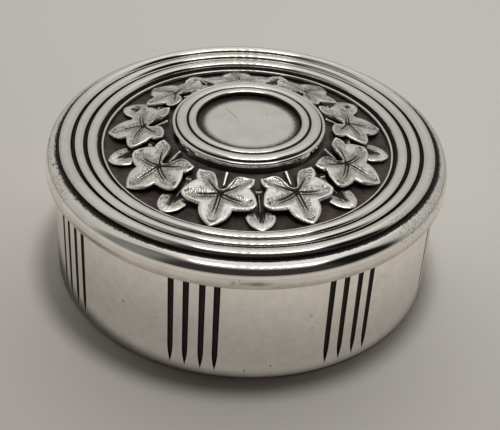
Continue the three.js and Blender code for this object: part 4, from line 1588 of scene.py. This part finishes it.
    def _small_outline(self) -> Array:
        """The small leaf's pointed oval from its root round by the left, as two bent curves a side."""
        tip = self.shell.field_radius - self.small_tip_margin
        half = self.small_width / 2
        length = self.small_length

        def at(side: float, along: float) -> Array:
            return np.array((side * half, -(tip - length * along)))

        share = np.linspace(0.0, 1.0, self.small_edge_points, endpoint=False)[:, None]
        start, turn, low = at(0.0, 1.0), at(1.0, self.small_shoulder), at(0.0, 0.0)
        upper = bent(start, at(1.0, 1.0), turn, share)
        lower = bent(turn, at(self.small_tip_share, self.small_fullness), low, share)
        return both_halves(np.concatenate((upper, lower)), low)

    def small_leaf(self) -> Shell:
        """A small leaf with its stalk and bud.

        The blade swells a little inside its bevelled edge, so that its middle is hollow, and has three
        fine ribs. Dark patina, with painted shadow of the large leaves beside it, fills a wedge at its
        root, and its underside is painted dark as shadow. The bud is a flat ball, dark but for a bright
        crescent on its outer side.
        """
        outline = self._small_outline()
        tip = self.shell.field_radius - self.small_tip_margin
        root = tip - self.small_length
        middle = np.array((0.0, -(tip - self.small_length * self.small_shoulder)))
        flat, edge_distance = self._rings(outline, middle, self.small_under_shares, self.small_rows,
                                          self.small_power)
        rise = self.shell.ground_height(root) - self.shell.ground_height(tip)
        along = (tip + flat[..., 1]) / self.small_length
        under = self.shell.ground_height(tip) + self.ornament_gap + rise * along
        side = np.abs(flat[..., 0])
        middle_width, side_width = self.small_rib_widths
        splayed = side - self.small_rib_splay * (1.0 - along)
        ribs = np.maximum(bell(side, middle_width), self.small_side_rib * bell(splayed, side_width))
        inside = smooth_step(edge_distance, *self.small_inside)
        swell = self.small_swell * bell(edge_distance - self.small_swell_place, self.small_swell_width)
        bevel = self.small_bevel * bell(edge_distance, self.small_bevel_width)
        height = under + self.small_thickness + (swell - bevel) + self.small_rib_height * ribs * inside
        rows = len(self.small_under_shares)
        height[:rows] = under[:rows] + np.array(self.small_under_rises)[:, None]
        # patina and painted shadow of the large leaves: a dark wedge at the root
        wedge_edge = self.wedge_half_width + self.wedge_splay * (along - self.wedge_start)
        wedge = STAIN_EDGE + (wedge_edge - side) / self.wedge_fade
        stained = np.clip(wedge - self.small_rib_polish * ribs * inside, 0.0, 1.0)
        patina = stained * smooth_step(along, *self.wedge_reach)
        # painted shadow: the underside is dark
        patina[:rows - 1] = 1.0
        grid = np.concatenate((flat, height[..., None]), axis=-1)
        stipple = self.small_hatch * smooth_step(along, *self.small_hatch_reach) * inside
        blade = Shell.from_grid(grid, Closing.POLES, **{PATINA: patina, STIPPLE: stipple})
        return blade.with_shells(*self._bud(-middle[1], under[0, 0]))

    def _bud(self, stalk_end: float, end_level: float) -> tuple[Shell, Shell]:
        """The thin stalk from a radius under the small leaf's blade, and the bud at its other end."""
        bud_radius = self.boss_radius + self.bud_distance
        floor = self.shell.ground_height(bud_radius - self.bud_radius) + self.ornament_gap
        bud_level = floor + self.bud_half_height
        bend_radius = (bud_radius + stalk_end) / 2
        clear = self.ornament_gap + self.small_stalk_radius
        bend_level = self.shell.ground_height(bend_radius) + clear
        path = self._path((bud_radius, bud_level), (bend_radius, bend_level),
                          (stalk_end, end_level + self.small_stalk_rise))
        stalk = self._rod(path, np.full(len(path), self.small_stalk_radius), self.small_stalk_shade)
        radii = (self.bud_radius, self.bud_half_height)
        section = ellipse_arc((0.0, 0.0), radii, -90.0, 90.0, self.bud_rows)
        azimuth = round_columns(self.bud_columns)[None, :]
        ball = turned(section, azimuth) + np.array((0.0, -bud_radius, bud_level))
        crescent = bell(section[:, :1] / self.bud_radius - self.crescent_place, self.crescent_width)
        outer = smooth_step(np.cos(azimuth), *self.crescent_cosines) * crescent
        dark = 1.0 - outer * (section[:, 1:] > self.crescent_bottom)
        bud = Shell.from_grid(ball, Closing.POLES, **{PATINA: dark, STIPPLE: np.zeros_like(dark)})
        return stalk, bud


def upright_share(ring: Array, path: Array) -> Array:
    """How far up on its rod each point of a ring lies, as a share of the ring's half height."""
    rise = ring[..., 2] - path[:, None, 2]
    return rise / np.abs(rise).max(axis=1, keepdims=True)


@dataclass(frozen=True)
class RoomArea:
    """One part of the mirrored room: azimuths and elevations in degrees, their soft ends and its tone."""

    sides: Pair
    heights: Pair
    softness: Pair
    tone: Colour


@dataclass
class Studio:
    """Camera, floor and light. Sizes in mm, angles in degrees.

    Three numbers for a part of the room are its low end, its high end and the softness of both.
    """

    image_width: int = 500
    focal_pixels: float = 1186.2
    sensor_width: float = 36.0
    clip_start: float = 10.0
    camera_place: Triple = (1.24, -185.23, 148.57)
    camera_elevation: float = 36.97
    camera_roll: float = -3.547
    floor_radius: float = 4000.0
    floor_middle: float = 10.0
    floor_rings: int = 24
    floor_columns: int = 64
    floor_finish: PaleFloor = PaleFloor()
    background: Colour = (0.62, 0.605, 0.585, 1.0)
    lamp_place: Triple = (30.0, 32.0, 600.0)
    lamp_size: float = 115.0
    lamp_power: float = 1.14
    dim_front: Colour = (0.036, 0.034, 0.032, 1.0)
    dim_back: Colour = (1.06, 1.04, 1.005, 1.0)
    dim_span: Pair = (-0.1, 0.8)
    room_high: Colour = (0.57, 0.56, 0.54, 1.0)
    room_low: Colour = (0.46, 0.45, 0.425, 1.0)
    room_fade: Pair = (52.0, 8.0)
    room_areas: tuple[RoomArea, ...] = (
        RoomArea((-75.0, 88.0), (-20.0, 63.0), (10.0, 17.0), (0.04, 0.033, 0.032, 1.0)),
        RoomArea((-75.0, -42.0), (-20.0, 52.0), (10.0, 10.0), (0.2, 0.205, 0.185, 1.0)),
        RoomArea((52.0, 84.0), (8.0, 58.0), (6.0, 6.0), (0.008, 0.008, 0.009, 1.0)))
    ceiling: Colour = (0.82, 0.81, 0.79, 1.0)
    ceiling_sides: Triple = (-17.0, 30.0, 5.0)
    ceiling_front: Pair = (48.0, 74.0)
    ceiling_back: Pair = (138.0, 114.0)
    row_light: Colour = (7.0, 6.9, 6.7, 1.0)
    row_pitch: float = 3.2
    row_beat: Pair = (0.35, 0.9)
    row_sides: Triple = (-15.0, 28.0, 2.0)
    row_arch: Triple = (68.0, 82.0, 2.0)
    row_apart: Triple = (-3.0, 18.0, 3.0)
    row_joined_light: float = 0.25

    def build(self) -> None:
        """Sets the camera, the floor, the light and the colour handling."""
        self.camera()
        self.floor()
        self.lamp()
        self.room()
        bpy.context.scene.view_settings.view_transform = "Standard"

    def camera(self) -> None:
        """A camera at the photograph's place, with its slight roll."""
        data = bpy.data.cameras.new("photo_view")
        data.sensor_width = self.sensor_width
        data.lens = self.focal_pixels * self.sensor_width / self.image_width
        data.clip_start = self.clip_start * MM
        elevation = math.radians(self.camera_elevation)
        roll = math.radians(self.camera_roll)
        right = Vector((1.0, 0.0, 0.0))
        up = Vector((0.0, math.sin(elevation), math.cos(elevation)))
        back = Vector((0.0, -math.cos(elevation), math.sin(elevation)))
        side = math.cos(roll) * right - math.sin(roll) * up
        top = math.sin(roll) * right + math.cos(roll) * up
        turn = Matrix((side, top, back)).transposed().to_4x4()
        camera = bpy.data.objects.new("photo_view", data)
        camera.matrix_world = Matrix.Translation(Vector(self.camera_place) * MM) @ turn
        bpy.context.scene.collection.objects.link(camera)
        bpy.context.scene.camera = camera

    def floor(self) -> None:
        """A wide flat disc that the box stands on: rings round the axis from the edge to the middle."""
        rings = np.geomspace(self.floor_radius, self.floor_middle, self.floor_rings)
        profile = np.column_stack((rings, np.zeros_like(rings)))
        grid = turned(profile, round_columns(self.floor_columns)) * MM
        index = np.arange(rings.size * self.floor_columns).reshape(rings.size, -1)
        index = np.hstack((index, index[:, :1]))
        faces = Shell.faces_between(index) + [index[-1, :-1].tolist()]
        mesh = bpy.data.meshes.new("floor")
        mesh.from_pydata(grid.reshape(-1, 3).tolist(), [], faces)
        floor = bpy.data.objects.new("floor", mesh)
        floor.data.materials.append(self.floor_finish.material())
        bpy.context.scene.collection.objects.link(floor)

    def lamp(self) -> None:
        """A soft lamp almost overhead for the box's shadow. The metal mirrors the room instead."""
        data = bpy.data.lights.new("overhead", "AREA")
        data.shape = "DISK"
        data.size = self.lamp_size * MM
        data.energy = self.lamp_power
        lamp = bpy.data.objects.new("overhead", data)
        lamp.location = Vector(self.lamp_place) * MM
        lamp.visible_glossy = False
        bpy.context.scene.collection.objects.link(lamp)

    def room(self) -> None:
        """Soft light from a pale room with a dark front and a row of small lamps high at the front.

        The room's tone depends on the direction alone: azimuth from the front, elevation, the angle
        sideways and the arch, which runs from 0 at the front over 90 overhead to 180 at the back. The
        lamps run together at both ends of their row. The metal mirrors the room, other surfaces get a
        plain light that is dim from the front, and what the camera sees straight is one plain pale tone.
        """
        world = bpy.data.worlds.new("room")
        bpy.context.scene.world = world
        world.use_nodes = True
        graph = Graph(world.node_tree)
        direction = graph.node("ShaderNodeTexCoord").outputs["Generated"]
        split = graph.node("ShaderNodeSeparateXYZ", Vector=direction)
        forwards = graph.product(split.outputs[1], -1.0)
        azimuth = graph.maths("DEGREES", graph.maths("ARCTAN2", split.outputs[0], forwards))
        elevation = graph.maths("DEGREES", graph.maths("ARCSINE", split.outputs[2]))
        sideways = graph.maths("DEGREES", graph.maths("ARCSINE", split.outputs[0]))
        arch = graph.maths("DEGREES", graph.maths("ARCTAN2", split.outputs[2], forwards))

        tone = graph.mixed(graph.spread(elevation, *self.room_fade), self.room_high, self.room_low)
        for area in self.room_areas:
            side_soft, height_soft = area.softness
            across = graph.band(azimuth, *area.sides, side_soft)
            upward = graph.band(elevation, *area.heights, height_soft)
            tone = graph.mixed(graph.product(across, upward), tone, area.tone)
        overhead = graph.product(graph.spread(arch, *self.ceiling_front),
                                 graph.spread(arch, *self.ceiling_back))
        ceiling = graph.product(graph.band(sideways, *self.ceiling_sides), overhead)
        tone = graph.mixed(ceiling, tone, self.ceiling)
        beat = graph.maths("SINE", graph.product(sideways, FULL_TURN / self.row_pitch))
        joined = graph.maths("SUBTRACT", 1.0, graph.band(sideways, *self.row_apart))
        joined = graph.product(joined, self.row_joined_light)
        lit = graph.maths("MAXIMUM", graph.spread(beat, *self.row_beat), joined)
        row = graph.product(graph.band(sideways, *self.row_sides), graph.band(arch, *self.row_arch))
        tone = graph.mixed(graph.product(lit, row), tone, self.row_light)
        dim = graph.mixed(graph.spread(split.outputs[1], *self.dim_span), self.dim_front, self.dim_back)
        path = graph.node("ShaderNodeLightPath")
        mirrored = graph.node("ShaderNodeBackground", Color=tone).outputs[0]
        plain_light = graph.node("ShaderNodeBackground", Color=dim).outputs[0]
        plain_tone = graph.node("ShaderNodeBackground", Color=self.background).outputs[0]
        room = graph.either(graph.mirrored_ray(), plain_light, mirrored)
        seen = graph.either(path.outputs["Is Camera Ray"], room, plain_tone)
        graph.node("ShaderNodeOutputWorld", Surface=seen)


def main() -> None:
    """Builds the studio and every piece of the box in order."""
    logging.basicConfig(level=logging.INFO, format="%(message)s")
    Studio().build()
    lid = LidShell()
    boss = Boss()
    wreath = IvyWreath(lid, boss.radius)
    for assembly in (BoxBody(), lid, boss, wreath):
        for piece in assembly.build():
            piece.place()


if __name__ == "__main__":
    main()
